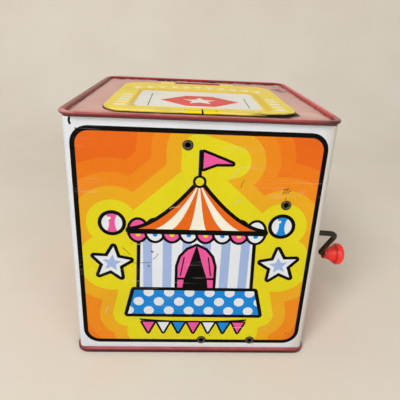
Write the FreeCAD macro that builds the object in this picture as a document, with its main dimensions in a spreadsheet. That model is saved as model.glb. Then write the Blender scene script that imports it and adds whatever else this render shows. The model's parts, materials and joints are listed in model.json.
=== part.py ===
"""Tin jack in the box: a square lithographed case with a hinged lid, a crank that
turns a small music drum, a latch, and a figure on a coil spring.
Millimetres, +Z up, the case stands on z = 0 and its front faces -Y."""
import FreeCAD, Part
import math
import os
from types import SimpleNamespace

import Sketcher
from FreeCAD import Placement, Rotation, Vector

SIZES = (
    ("box_width", 134, "outside of the side walls"),
    ("box_depth", 134, "outside of the front and back walls"),
    ("box_height", 144.4, "table to the top of the rim"),
    ("tin_sheet", 0.5, "wall sheet"),
    ("corner_radius", 3, "upright corners of the walls"),
    ("seam_clearance", 0.1, "between pressed sheets that slip into each other"),
    ("base_sheet", 0.6, "floor of the base"),
    ("base_rim_height", 3.2, "rolled edge of the base"),
    ("base_rim_overhang", 1.7, "rolled edge of the base beyond the walls"),
    ("base_corner_radius", 7, "corners of that edge, outside"),
    ("base_rim_round", 0.8, "roundness of that edge"),
    ("top_rim_height", 2.0, "bead around the top"),
    ("top_rim_overhang", 2.6, "bead beyond the walls"),
    ("top_rim_inside", 0.6, "bead inwards from the wall's outer face"),
    ("top_rim_round", 0.9, "roundness of the bead"),
    ("top_corner_radius", 10, "corners of the bead, outside"),
    ("panel_drop", 2.1, "rim top down to the sunk panel"),
    ("panel_sheet", 0.6, "sheet of the sunk panel"),
    ("skirt_depth", 5, "skirt of the top inside the walls"),
    ("opening_side_inset", 22, "side walls to the mouth in the panel"),
    ("opening_front_inset", 20, "front wall to the mouth"),
    ("opening_back_inset", 28, "back wall to the mouth"),
    ("opening_radius", 9, "corners of the mouth"),
    ("lid_side_inset", 15.5, "side walls to the lid"),
    ("lid_front_inset", 11.8, "front wall to the lid"),
    ("lid_radius", 14, "corners of the lid"),
    ("lid_height", 1.5, "depth of the lid's pressed pan"),
    ("lid_sheet", 0.6, "sheet of the lid"),
    ("lid_round", 1.1, "turned edge of the lid"),
    ("lid_gap", 0.2, "lid's edge above the panel"),
    ("emboss_width", 70, "sunk field of the lid"),
    ("emboss_depth", 57.5, "sunk field of the lid"),
    ("emboss_shift", 17.75, "field's centre towards the front"),
    ("emboss_radius", 4, "corners of the field"),
    ("emboss_sink", 0.8, "depth of the field"),
    ("emboss_slope", 3.5, "slope around the field"),
    ("hinge_inset", 24, "back wall to the hinge line"),
    ("hinge_overlap", 0.5, "lid's back edge behind the hinge line"),
    ("knuckle_radius", 1.2, "fixed knuckle of the hinge"),
    ("knuckle_length", 32, "fixed knuckle of the hinge"),
    ("loop_radius", 1.0, "loops on the lid"),
    ("loop_length", 10, "loops on the lid"),
    ("hinge_gap", 0.4, "between knuckle and loops"),
    ("hinge_pin_radius", 0.6, "hinge pin"),
    ("hinge_leaf", 10, "leaf of the knuckle, towards the back"),
    ("running_clearance", 0.05, "around turning pins and shafts"),
    ("rivet_flange_radius", 2.4, "hollow rivet, outer flange"),
    ("rivet_flange", 0.7, "thickness of that flange"),
    ("rivet_shank_radius", 1.7, "hollow rivet, shank"),
    ("rivet_bore_radius", 1.3, "hollow rivet, bore"),
    ("rivet_upper_x", 45.8, "rivet beside the drum wheel"),
    ("rivet_upper_rise", 5.2, "that rivet above the drum axle"),
    ("rivet_middle_x", 5.1, "rivet at the frame's foot, middle"),
    ("rivet_lower_x", 34.3, "rivet at the frame's foot, right"),
    ("rivet_foot_rise", 4.8, "those two above the frame's foot"),
    ("crank_setback", 20, "front face to the crank shaft"),
    ("crank_rise", 72.3, "table to the crank shaft"),
    ("crank_reach", 18.25, "side wall to the middle of the crank arm"),
    ("crank_wire_radius", 1.6, "crank wire"),
    ("crank_bend", 4.5, "bend from the shaft to the arm"),
    ("handle_bend", 2.0, "bend from the arm to the handle"),
    ("crank_arm", 26, "shaft to handle"),
    ("crank_angle", 33, "arm from straight down, towards the back, in degrees"),
    ("crank_droop", 6, "arm end of the shaft bent towards the handle, in degrees"),
    ("crank_droop_start", 3, "side wall to that bend"),
    ("knob_gap", 0.05, "end of that bend to the knob"),
    ("knob_length", 13.6, "knob"),
    ("knob_neck_radius", 3.5, "knob beside the arm"),
    ("knob_radius", 6.9, "knob at its widest"),
    ("bush_radius", 3.0, "bush in the side wall"),
    ("bush_flange_radius", 4.2, "flanges of the bush"),
    ("bush_flange", 0.6, "thickness of the flanges"),
    ("frame_sheet", 1.0, "frame of the music movement"),
    ("frame_left", -12.8, "left end of the frame"),
    ("frame_right", 52, "right end of the frame"),
    ("frame_foot", 4, "table to the frame's foot"),
    ("frame_head", 11, "drum axle to the frame's top"),
    ("frame_depth", 28, "cheeks of the frame"),
    ("cheek_drop", 9, "crank shaft down to the foot of the cheeks"),
    ("gear_module", 1.0, "pinion and wheel"),
    ("gear_width", 6, "pinion and wheel"),
    ("gear_start", 41, "left face of pinion and wheel"),
    ("gear_backlash", 0.25, "added to the centre distance"),
    ("axle_radius", 1.5, "drum axle"),
    ("drum_radius", 10, "drum"),
    ("drum_length", 40, "drum"),
    ("nub_height", 1.2, "nubs on the drum"),
    ("comb_clearance", 0.4, "nubs to comb"),
    ("comb_sheet", 1.0, "steel comb"),
    ("comb_width", 36, "steel comb"),
    ("comb_height", 32, "steel comb"),
    ("comb_root", 10, "clamped strip of the comb"),
    ("comb_slot", 0.5, "slots between the teeth"),
    ("screw_radius", 1.2, "screws of the comb"),
    ("screw_grip", 4, "those screws in the block"),
    ("screw_head_radius", 2.3, "heads of those screws"),
    ("screw_head_height", 1.3, "heads of those screws"),
    ("screw_slit", 0.6, "slit in those heads"),
    ("cam_sheet", 1.2, "disc of the release cam"),
    ("cam_lobe", 4.3, "lobe on the disc"),
    ("cam_orbit", 8, "axle to lobe"),
    ("lever_sheet", 1.0, "latch lever"),
    ("lever_x", -6.6, "pivot of the latch lever"),
    ("lever_drop", 14.7, "rim top down to that pivot"),
    ("lever_clearance", 0.3, "let-go lever to lid tongue and cam"),
    ("lever_play", 0.6, "beside the lever on its rivet"),
    ("lever_reach", 9.5, "pivot to the top of the lever"),
    ("lever_arm_width", 7, "long arm of the lever"),
    ("lever_boss_radius", 3.8, "around the pivot"),
    ("hook_left", 2.9, "pivot to the hook's face"),
    ("hook_right", 2.4, "pivot to the hook's back"),
    ("hook_height", 2.3, "hook"),
    ("follower_width", 4, "foot that the cam pushes"),
    ("latch_wire_radius", 0.35, "latch spring"),
    ("latch_coil_radius", 3.2, "latch spring"),
    ("latch_coil_pitch", 1.5, "latch spring"),
    ("latch_leg_up", 8, "leg against the hook"),
    ("latch_leg_down", 15, "leg against the frame's stop"),
    ("stop_height", 5, "stop on the frame"),
    ("tongue_inset", 1.8, "edge of the mouth to the tongue"),
    ("tongue_width", 8, "tongue under the lid"),
    ("tongue_length", 9.6, "tongue under the lid"),
    ("tongue_sheet", 0.8, "tongue under the lid"),
    ("jack_setback", 4, "figure's axis behind the box centre"),
    ("spring_wire_radius", 0.9, "figure's spring"),
    ("spring_radius", 20, "figure's spring, middle of the wire"),
    ("figure_clearance", 6.15, "top of the packed figure to the lid"),
    ("lip_height", 4, "lips that hold the ends of the spring"),
    ("lip_sheet", 1, "those lips"),
    ("hub_radius", 8, "hole in the plate under the spring"),
    ("garment_radius", 27, "pleated garment, outside"),
    ("garment_pleat", 2.6, "depth of its pleats"),
    ("garment_sheet", 0.9, "cloth of the garment"),
    ("cup_sheet", 1.2, "plate on top of the spring"),
    ("neck_radius", 9, "neck of the head"),
    ("head_radius", 26, "head"),
    ("head_wall", 2.2, "wall of the head"),
    ("head_rise", 32, "spring plate to the head's centre"),
    ("ruff_radius", 29.5, "collar"),
    ("ruff_height", 5, "collar"),
    ("nose_radius", 4.6, "nose"),
    ("tuft_radius", 7.5, "tufts of hair at the ears"),
    ("brim_rise", 13.5, "head's centre to the underside of the brim"),
    ("brim_height", 2.4, "brim of the cap"),
    ("brim_width", 2.8, "brim of the cap"),
    ("cap_height", 32, "cone of the cap"),
    ("cap_wall", 1.1, "felt of the cap"),
    ("pompom_radius", 4.2, "ball on the cap"),
    ("arm_reach", 8.7, "shoulders out to the hands"),
    ("sleeve_radius", 4, "sleeve at the shoulder"),
    ("cuff_radius", 4.8, "sleeve at the wrist"),
    ("hand_radius", 4.2, "hands"),
    ("shoulder_drop", 11, "spring plate down to the shoulders"),
    ("hand_rise", 11, "spring plate up to the hands"),
)
PINION_TEETH = 10
WHEEL_TEETH = 32

doc = FreeCAD.newDocument("jack_in_the_box")
sheet = doc.addObject("Spreadsheet::Sheet", "dims")
for row, (alias, number, note) in enumerate(SIZES, start=1):
    sheet.set(f"A{row}", note)
    sheet.set(f"B{row}", str(number))
    sheet.setAlias(f"B{row}", alias)
doc.recompute()


class Size:
    """A length, both as an expression on the sheet and as a number."""

    def __init__(self, text, value):
        self.text = text
        self.value = float(value)

    def __add__(self, other):
        other = sized(other)
        return Size(f"({self.text} + {other.text})", self.value + other.value)

    def __radd__(self, other):
        return sized(other) + self

    def __sub__(self, other):
        other = sized(other)
        return Size(f"({self.text} - {other.text})", self.value - other.value)

    def __rsub__(self, other):
        return sized(other) - self

    def __mul__(self, other):
        other = sized(other)
        return Size(f"({self.text} * {other.text})", self.value * other.value)

    __rmul__ = __mul__

    def __truediv__(self, other):
        other = sized(other)
        return Size(f"({self.text} / {other.text})", self.value / other.value)

    def __neg__(self):
        return self * -1

    def leg(self, other):
        """The other leg of a right triangle with this hypotenuse."""
        other = sized(other)
        return Size(f"sqrt({self.text} ^ 2 - {other.text} ^ 2)",
                    math.sqrt(self.value ** 2 - other.value ** 2))


def sized(thing):
    return thing if isinstance(thing, Size) else Size(repr(float(thing)), thing)


def number_of(thing):
    return sized(thing).value


d = SimpleNamespace(**{alias: Size(f"dims.{alias}", number) for alias, number, note in SIZES})
PARTS = {}


def keep(obj, label):
    """Names a finished piece."""
    obj.Label = label
    PARTS[label] = obj
    return obj


def bind(obj, prop, size):
    obj.setExpression(prop, sized(size).text)


def place(obj, x, y, z):
    for axis, size in zip("xyz", (x, y, z)):
        bind(obj, f"Placement.Base.{axis}", size)


# Sketches and features of a body.

def new_body(label):
    return keep(doc.addObject("PartDesign::Body", label), label)


def origin_of(body, role):
    return next(f for f in body.Origin.OriginFeatures if f.Role == role)


def sketch_on(body, plane, lift=0):
    sketch = body.newObject("Sketcher::SketchObject", f"{body.Name}_sketch")
    sketch.AttachmentSupport = [(origin_of(body, f"{plane}_Plane"), "")]
    sketch.MapMode = "FlatFace"
    bind(sketch, "AttachmentOffset.Base.z", lift)
    return sketch


def pin(sketch, geometry, point, x, y):
    """Ties one point of a sketch to two sizes from its origin."""
    for kind, size in (("DistanceX", x), ("DistanceY", y)):
        index = sketch.addConstraint(Sketcher.Constraint(kind, -1, 1, geometry, point, number_of(size)))
        bind(sketch, f"Constraints[{index}]", size)


def segment(start, corner):
    """The line or arc from a point to a corner, with the sketch's names for its two ends."""
    a = Vector(number_of(start[0]), number_of(start[1]), 0)
    b = Vector(number_of(corner[0]), number_of(corner[1]), 0)
    if len(corner) == 2:
        return Part.LineSegment(a, b), 1, 2
    radius, turn = number_of(corner[2]), corner[3]
    chord = b - a
    left = Vector(-chord.y, chord.x, 0).normalize()
    middle = (a + b) * 0.5 + left * (turn * math.sqrt(max(radius ** 2 - chord.Length ** 2 / 4, 0)))
    first, last = (a, b) if turn > 0 else (b, a)
    angles = [math.atan2(p.y - middle.y, p.x - middle.x) for p in (first, last)]
    circle = Part.Circle(middle, Vector(0, 0, 1), radius)
    return Part.ArcOfCircle(circle, *angles), (1 if turn > 0 else 2), (2 if turn > 0 else 1)


def outline(sketch, corners, closed=True):
    """A loop of corners (x, y); a corner (x, y, radius, turn) is reached by an arc,
    counter-clockwise for turn 1. An open path begins at its first corner."""
    first = sketch.GeometryCount
    legs = []
    for i in range(0 if closed else 1, len(corners)):
        start, corner = corners[i - 1], corners[i]
        shape, head, tail = segment(start, corner)
        geometry = sketch.addGeometry(shape, False)
        legs.append((geometry, head, tail, start, corner))
    for i, (geometry, head, tail, start, corner) in enumerate(legs):
        pin(sketch, geometry, head, start[0], start[1])
        if closed or i:
            before = legs[i - 1]
            sketch.addConstraint(Sketcher.Constraint("Coincident", before[0], before[2], geometry, head))
        if len(corner) == 4:
            index = sketch.addConstraint(Sketcher.Constraint("Radius", geometry, number_of(corner[2])))
            bind(sketch, f"Constraints[{index}]", corner[2])
    if not closed:
        geometry, head, tail, start, corner = legs[-1]
        pin(sketch, geometry, tail, corner[0], corner[1])
    return first


def rounded(sketch, width, depth, radius, y=0):
    right, left = sized(width) / 2, sized(width) / -2
    back, front = y + sized(depth) / 2, y - sized(depth) / 2
    outline(sketch, [
        (right - radius, front), (right, front + radius, radius, 1),
        (right, back - radius), (right - radius, back, radius, 1),
        (left + radius, back), (left, back - radius, radius, 1),
        (left, front + radius), (left + radius, front, radius, 1)])


def rectangle(sketch, x0, x1, y0, y1):
    outline(sketch, [(x0, y0), (x1, y0), (x1, y1), (x0, y1)])


def ring(sketch, radius, x=0, y=0):
    circle = Part.Circle(Vector(number_of(x), number_of(y), 0), Vector(0, 0, 1), number_of(radius))
    geometry = sketch.addGeometry(circle, False)
    pin(sketch, geometry, 3, x, y)
    index = sketch.addConstraint(Sketcher.Constraint("Radius", geometry, number_of(radius)))
    bind(sketch, f"Constraints[{index}]", radius)


def pad(body, sketch, length, backwards=False):
    feature = body.newObject("PartDesign::Pad", f"{body.Name}_pad")
    feature.Profile = sketch
    feature.Reversed = backwards
    bind(feature, "Length", length)
    doc.recompute()
    return feature


def pocket(body, sketch, length, backwards=False):
    before = body.Shape.Volume
    feature = body.newObject("PartDesign::Pocket", f"{body.Name}_pocket")
    feature.Profile = sketch
    feature.Reversed = backwards
    bind(feature, "Length", length)
    doc.recompute()
    if body.Shape.Volume > before - 1e-6:
        raise RuntimeError(f"a pocket of {body.Label} removes nothing")
    return feature


def revolve(body, sketch):
    feature = body.newObject("PartDesign::Revolution", f"{body.Name}_turned")
    feature.Profile = sketch
    feature.ReferenceAxis = (sketch, ["V_Axis"])
    feature.Angle = 360
    doc.recompute()
    return feature


def turned(label, corners):
    """A piece turned from a half profile (radius, height)."""
    body = new_body(label)
    sketch = sketch_on(body, "XZ")
    outline(sketch, corners)
    revolve(body, sketch)
    return body


def round_edges(body, radius, wanted):
    tip = body.Tip
    names = [f"Edge{i}" for i, edge in enumerate(tip.Shape.Edges, start=1) if wanted(edge)]
    feature = body.newObject("PartDesign::Fillet", f"{body.Name}_round")
    feature.Base = (tip, names)
    bind(feature, "Radius", radius)
    doc.recompute()
    return feature


def level_at(height):
    """Picks the edges that lie flat at one height."""
    z = number_of(height)
    return lambda edge: abs(edge.BoundBox.ZMin - z) < 1e-4 and abs(edge.BoundBox.ZMax - z) < 1e-4


# Simple solids.

TURN_TO = {"X": Rotation(Vector(0, 1, 0), 90), "Y": Rotation(Vector(1, 0, 0), -90), "Z": Rotation()}


def block(x0, x1, y0, y1, z0, z1):
    obj = doc.addObject("Part::Box", "block")
    for prop, low, high in (("Length", x0, x1), ("Width", y0, y1), ("Height", z0, z1)):
        bind(obj, prop, high - sized(low))
    place(obj, x0, y0, z0)
    return obj


def rod(radius, axis, start, length, *cross):
    """A cylinder along an axis from start; cross gives its two other coordinates in order."""
    obj = doc.addObject("Part::Cylinder", "rod")
    bind(obj, "Radius", radius)
    bind(obj, "Height", length)
    obj.Placement = Placement(Vector(), TURN_TO[axis])
    spot = list(cross)
    spot.insert("XYZ".index(axis), start)
    place(obj, *spot)
    return obj


def ball(radius, x, y, z, seam=0):
    """A sphere; seam is the direction of its seam in degrees, kept away from cuts."""
    obj = doc.addObject("Part::Sphere", "ball")
    bind(obj, "Radius", radius)
    obj.Placement = Placement(Vector(), Rotation(Vector(0, 0, 1), seam))
    place(obj, x, y, z)
    return obj


def fuse(*shapes):
    obj = doc.addObject("Part::MultiFuse", "joined")
    obj.Shapes = list(shapes)
    obj.Refine = True
    doc.recompute()
    return obj


def cut(base, *tools):
    tool = tools[0] if len(tools) == 1 else fuse(*tools)
    obj = doc.addObject("Part::Cut", "cut")
    obj.Base = base
    obj.Tool = tool
    obj.Refine = True
    doc.recompute()
    if obj.Shape.Volume > base.Shape.Volume - 1e-6:
        raise RuntimeError(f"a cut of {base.Label} removes nothing")
    return obj


def group(label, *shapes):
    obj = doc.addObject("Part::Compound", label)
    obj.Links = list(shapes)
    doc.recompute()
    return keep(obj, label)


# Positions that several pieces share.

front = d.box_depth / -2
side = d.box_width / 2
panel_top = d.box_height - d.panel_drop
hinge_y = d.box_depth / 2 - d.hinge_inset
hinge_z = panel_top + d.knuckle_radius + d.seam_clearance
opening_width = d.box_width - 2 * d.opening_side_inset
opening_front = front + d.opening_front_inset
opening_back = d.box_depth / 2 - d.opening_back_inset
opening_depth = opening_back - opening_front
opening_middle = (opening_back + opening_front) / 2
lid_foot = panel_top + d.lid_gap
lid_under = lid_foot + d.lid_height - d.lid_sheet
lid_width = d.box_width - 2 * d.lid_side_inset
lid_front = front + d.lid_front_inset
lid_back = hinge_y + d.hinge_overlap
lid_depth = lid_back - lid_front
lid_middle = (lid_back + lid_front) / 2
tongue_y = opening_front + d.tongue_inset
figure_height = d.head_rise + d.brim_rise + d.brim_height + d.cap_height + d.pompom_radius * 1.75
packed_height = lid_under - d.figure_clearance - figure_height
crank_y = front + d.crank_setback
drum_z = d.crank_rise + d.gear_module * ((PINION_TEETH + WHEEL_TEETH) / 2) + d.gear_backlash
frame_front = front + d.tin_sheet
frame_back = frame_front + d.frame_sheet
lever_z = d.box_height - d.lever_drop
cheek_left = d.frame_left + d.frame_sheet
cheek_right = d.frame_right - d.frame_sheet
cam_face = -d.cam_sheet
cam_tip = cam_face - d.cam_lobe
follower_x = cam_tip - d.lever_clearance
bush_x = side - d.tin_sheet - d.bush_flange
latch_coil_y = frame_back + 2 * d.lever_play + d.lever_sheet + 2 * d.lever_play
knob_x = side + d.crank_reach + d.handle_bend + d.knob_gap
foot_rivet_z = d.frame_foot + d.rivet_foot_rise
RIVET_SPOTS = ((d.rivet_upper_x, drum_z + d.rivet_upper_rise), (d.rivet_middle_x, foot_rivet_z),
               (d.rivet_lower_x, foot_rivet_z))


# The case.

def build_walls():
    body = new_body("box_body")
    sketch = sketch_on(body, "XY", d.base_sheet)
    rounded(sketch, d.box_width, d.box_depth, d.corner_radius)
    rounded(sketch, d.box_width - 2 * d.tin_sheet, d.box_depth - 2 * d.tin_sheet,
            d.corner_radius - d.tin_sheet)
    pad(body, sketch, panel_top - d.panel_sheet - d.base_sheet)
    holes = sketch_on(body, "XZ", d.box_depth / 2 + 1)
    for x, z in RIVET_SPOTS + ((d.lever_x, lever_z),):
        ring(holes, d.rivet_shank_radius + d.running_clearance, x, z)
    pocket(body, holes, d.tin_sheet + 2)
    hole = sketch_on(body, "YZ", side + 1)
    ring(hole, d.bush_radius + d.running_clearance, crank_y, d.crank_rise)
    pocket(body, hole, d.tin_sheet + 2)


def build_base():
    body = new_body("base_plate")
    width = d.box_width + 2 * d.base_rim_overhang
    depth = d.box_depth + 2 * d.base_rim_overhang
    floor = sketch_on(body, "XY")
    rounded(floor, width, depth, d.base_corner_radius)
    pad(body, floor, d.base_rim_height)
    round_edges(body, d.base_rim_round, lambda edge: level_at(0)(edge) or level_at(d.base_rim_height)(edge))
    inside = sketch_on(body, "XY", d.base_rim_height)
    slip = d.seam_clearance
    rounded(inside, d.box_width + 2 * slip, d.box_depth + 2 * slip, d.corner_radius + slip)
    pocket(body, inside, d.base_rim_height - d.base_sheet)


def build_top():
    body = new_body("top_plate")
    low = panel_top - d.panel_sheet
    under = d.box_height - d.top_rim_height
    plate = sketch_on(body, "XY", low)
    rounded(plate, d.box_width, d.box_depth, d.corner_radius)
    pad(body, plate, d.panel_drop + d.panel_sheet)
    bead = sketch_on(body, "XY", under)
    rounded(bead, d.box_width + 2 * d.top_rim_overhang, d.box_depth + 2 * d.top_rim_overhang,
            d.top_corner_radius)
    pad(body, bead, d.top_rim_height)
    wide = (d.box_width / 2 + d.top_rim_overhang / 2).value
    deep = (d.box_depth / 2 + d.top_rim_overhang / 2).value
    level = lambda edge: level_at(under)(edge) or level_at(d.box_height)(edge)
    far = lambda box: max(box.XMax, -box.XMin) > wide or max(box.YMax, -box.YMin) > deep
    round_edges(body, d.top_rim_round, lambda edge: level(edge) and far(edge.BoundBox))
    sunk = sketch_on(body, "XY", d.box_height)
    rounded(sunk, d.box_width - 2 * d.top_rim_inside, d.box_depth - 2 * d.top_rim_inside,
            d.corner_radius + 3)
    pocket(body, sunk, d.panel_drop)
    half = (d.box_width / 2 - d.top_rim_inside / 2).value
    at_top = level_at(d.box_height)
    inner = lambda edge: at_top(edge) and edge.BoundBox.XMax < half and edge.BoundBox.XMin > -half
    round_edges(body, d.top_rim_round * 0.7, inner)
    skirt = sketch_on(body, "XY", low)
    gap = d.tin_sheet + d.seam_clearance
    rounded(skirt, d.box_width - 2 * gap, d.box_depth - 2 * gap, d.corner_radius - gap)
    gap = gap + d.panel_sheet
    rounded(skirt, d.box_width - 2 * gap, d.box_depth - 2 * gap, d.corner_radius - gap)
    pad(body, skirt, d.skirt_depth, backwards=True)
    mouth = sketch_on(body, "XY", d.box_height)
    rounded(mouth, opening_width, opening_depth, d.opening_radius, opening_middle)
    pocket(body, mouth, d.panel_drop + d.panel_sheet + 1)
    leaf_holes = sketch_on(body, "XY", d.box_height)
    for x, y in hinge_rivet_spots():
        ring(leaf_holes, d.hinge_pin_radius + d.running_clearance, x, y)
    pocket(body, leaf_holes, d.panel_drop + d.panel_sheet + 1)


# The lid and its hinge.

def hinge_rivet_spots():
    y = hinge_y + d.hinge_leaf - 3
    return ((d.knuckle_length / -3, y), (d.knuckle_length / 3, y))


def build_lid():
    body = new_body("lid")
    pan = sketch_on(body, "XY", lid_foot)
    rounded(pan, lid_width, lid_depth, d.lid_radius, lid_middle)
    pad(body, pan, d.lid_height)
    top = lid_foot + d.lid_height
    round_edges(body, d.lid_round, level_at(top))
    inside = sketch_on(body, "XY", lid_foot)
    rounded(inside, lid_width - 2 * d.lid_sheet, lid_depth - 2 * d.lid_sheet,
            d.lid_radius - d.lid_sheet, lid_middle)
    pocket(body, inside, d.lid_height - d.lid_sheet, backwards=True)
    wide, deep = d.emboss_width + 2 * d.emboss_slope, d.emboss_depth + 2 * d.emboss_slope
    bulge = sketch_on(body, "XY", lid_under - d.emboss_sink)
    rounded(bulge, wide, deep, d.emboss_radius + d.emboss_slope, -d.emboss_shift)
    pad(body, bulge, d.emboss_sink + d.lid_sheet / 2)
    brink = sketch_on(body, "XY", top)
    rounded(brink, wide, deep, d.emboss_radius + d.emboss_slope, -d.emboss_shift)
    bed = sketch_on(body, "XY", top - d.emboss_sink)
    rounded(bed, d.emboss_width, d.emboss_depth, d.emboss_radius, -d.emboss_shift)
    hollow = body.newObject("PartDesign::SubtractiveLoft", "lid_field")
    hollow.Profile = brink
    hollow.Sections = [bed]
    hollow.Ruled = True
    doc.recompute()
    notch = sketch_on(body, "XY", top + 1)
    reach = d.knuckle_length / 2 + d.hinge_gap
    rectangle(notch, -reach, reach, hinge_y - d.knuckle_radius - d.hinge_gap, lid_back + 1)
    pocket(body, notch, d.lid_height + 2)
    for way in (1, -1):
        loop = sketch_on(body, "YZ", reach * way)
        ring(loop, d.loop_radius, hinge_y, hinge_z)
        pad(body, loop, d.loop_length, backwards=way < 0)
    bore = sketch_on(body, "YZ", -reach - d.loop_length)
    ring(bore, d.hinge_pin_radius + d.running_clearance, hinge_y, hinge_z)
    pocket(body, bore, 2 * (reach + d.loop_length), backwards=True)


def build_hinge():
    half = d.knuckle_length / 2
    tube = rod(d.knuckle_radius, "X", -half, d.knuckle_length, hinge_y, hinge_z)
    leaf = block(-half, half, hinge_y, hinge_y + d.hinge_leaf,
                 panel_top, panel_top + d.panel_sheet)
    web = block(-half, half, hinge_y, hinge_y + d.knuckle_radius * 0.8, panel_top, hinge_z)
    bore = rod(d.hinge_pin_radius + d.running_clearance, "X", -half - 1, d.knuckle_length + 2,
               hinge_y, hinge_z)
    hole_radius = d.hinge_pin_radius + d.running_clearance
    holes = [rod(hole_radius, "Z", panel_top - 2, 4, x, y) for x, y in hinge_rivet_spots()]
    keep(cut(fuse(tube, leaf, web), bore, *holes), "hinge_knuckle")
    length = d.knuckle_length + 2 * (d.hinge_gap + d.loop_length)
    keep(rod(d.hinge_pin_radius, "X", length / -2, length, hinge_y, hinge_z), "hinge_pin")
    rivets = []
    for x, y in hinge_rivet_spots():
        shank = rod(d.hinge_pin_radius, "Z", panel_top - d.panel_sheet - 0.4, 2 * d.panel_sheet + 0.8, x, y)
        head = rod(d.hinge_pin_radius * 2, "Z", panel_top + d.panel_sheet, 0.6, x, y)
        tail = rod(d.hinge_pin_radius * 1.7, "Z", panel_top - d.panel_sheet - 0.5, 0.5, x, y)
        rivets.append(fuse(shank, head, tail))
    group("hinge_rivets", *rivets)


# Rivets through the front wall.

def hollow_rivet(name, x, z, grip):
    """A tubular rivet: flange outside the wall, flange behind what it holds."""
    body = doc.addObject("PartDesign::Body", name)
    sketch = sketch_on(body, "XZ")
    bore, shank, flange = d.rivet_bore_radius, d.rivet_shank_radius, d.rivet_flange_radius
    far = sized(grip)
    edge = d.rivet_flange / 2
    outline(sketch, [
        (bore, 0 - edge), (bore + edge, 0 - d.rivet_flange, edge, 1), (flange - edge, 0 - d.rivet_flange),
        (flange, 0 - edge, edge, 1), (flange, 0), (shank, 0),
        (shank, far), (flange - 0.4, far), (flange - 0.4, far + 0.6), (bore, far + 0.6)])
    revolve(body, sketch)
    body.Placement = Placement(Vector(), TURN_TO["Y"])
    place(body, x, front, z)
    return body


def build_rivets():
    rivets = [hollow_rivet(f"rivet_{i}", x, z, d.tin_sheet + d.frame_sheet)
              for i, (x, z) in enumerate(RIVET_SPOTS)]
    group("front_rivets", *rivets)
    grip = d.tin_sheet + d.frame_sheet + 2 * d.lever_play + d.lever_sheet
    keep(hollow_rivet("pivot_rivet", d.lever_x, lever_z, grip), "pivot_rivet")


# Crank and music movement.

def crank_spot(x, z):
    """A point of the crank's flat shape, x along the shaft, after the droop of its outer end."""
    start = side + d.crank_droop_start
    droop = math.radians(d.crank_droop.value)
    away = x - start
    return start + away * math.cos(droop) + z * math.sin(droop), z * math.cos(droop) - away * math.sin(droop)


def build_crank():
    body = new_body("crank_rod")
    bend, reach, drop = d.crank_bend, side + d.crank_reach, -d.crank_arm
    soft, tight = 2 * bend, d.handle_bend
    ease = soft * math.tan(math.radians(d.crank_droop.value) / 2)
    kink = side + d.crank_droop_start
    path = sketch_on(body, "XZ")
    outline(path, [
        (d.frame_left - 3, 0), (kink - ease, 0), crank_spot(kink + ease, sized(0)) + (soft, -1),
        crank_spot(reach - bend, sized(0)), crank_spot(reach, -bend) + (bend, -1),
        crank_spot(reach, drop + tight), crank_spot(reach + tight, drop) + (tight, 1),
        crank_spot(knob_x + d.knob_length - 3.5, drop)],
        closed=False)
    profile = sketch_on(body, "YZ", d.frame_left - 3)
    ring(profile, d.crank_wire_radius)
    pipe = body.newObject("PartDesign::AdditivePipe", "crank_pipe")
    pipe.Profile = profile
    pipe.Spine = (path, [f"Edge{i}" for i in range(1, 8)])
    swing = Rotation(Vector(1, 0, 0), d.crank_angle.value)
    body.Placement = Placement(Vector(), swing)
    place(body, 0, crank_y, d.crank_rise)
    doc.recompute()
    bore, neck, wide, length = (d.crank_wire_radius + d.running_clearance, d.knob_neck_radius,
                                d.knob_radius, d.knob_length)
    hollow = length - 3
    crown, dome = wide * 0.66, length * 0.07
    knob = turned("crank_knob", [
        (bore, 0), (neck, 0), (neck, length * 0.1), (wide * 0.86, length * 0.53, length * 0.9, -1),
        (wide, length * 0.74, length * 0.22, 1), (crown, length - dome, length * 0.2, 1),
        (0, length, (crown * crown + dome * dome) / (2 * dome), 1),
        (0, hollow), (bore, hollow)])
    angle = math.radians(d.crank_angle.value)
    tilt = Rotation(Vector(0, 1, 0), d.crank_droop.value)
    knob.Placement = Placement(Vector(), swing.multiply(tilt).multiply(TURN_TO["X"]))
    x, z = crank_spot(knob_x, drop)
    place(knob, x, crank_y - z * math.sin(angle), d.crank_rise + z * math.cos(angle))


def build_bush():
    bore, sleeve, flange = d.crank_wire_radius + d.running_clearance, d.bush_radius, d.bush_flange_radius
    thick = d.bush_flange
    outside = thick + d.tin_sheet
    body = turned("crank_bush", [
        (bore, 0), (flange, 0), (flange, thick), (sleeve, thick), (sleeve, outside),
        (flange, outside), (flange, outside + thick * 0.5), (flange - thick * 0.5, outside + thick),
        (bore, outside + thick)])
    body.Placement = Placement(Vector(), TURN_TO["X"])
    place(body, bush_x, crank_y, d.crank_rise)
    collar = cut(rod(d.bush_radius, "X", d.frame_left - 1.6, 1.2, crank_y, d.crank_rise),
                 rod(bore, "X", d.frame_left - 3, 4, crank_y, d.crank_rise))
    keep(collar, "shaft_retainer")


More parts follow.
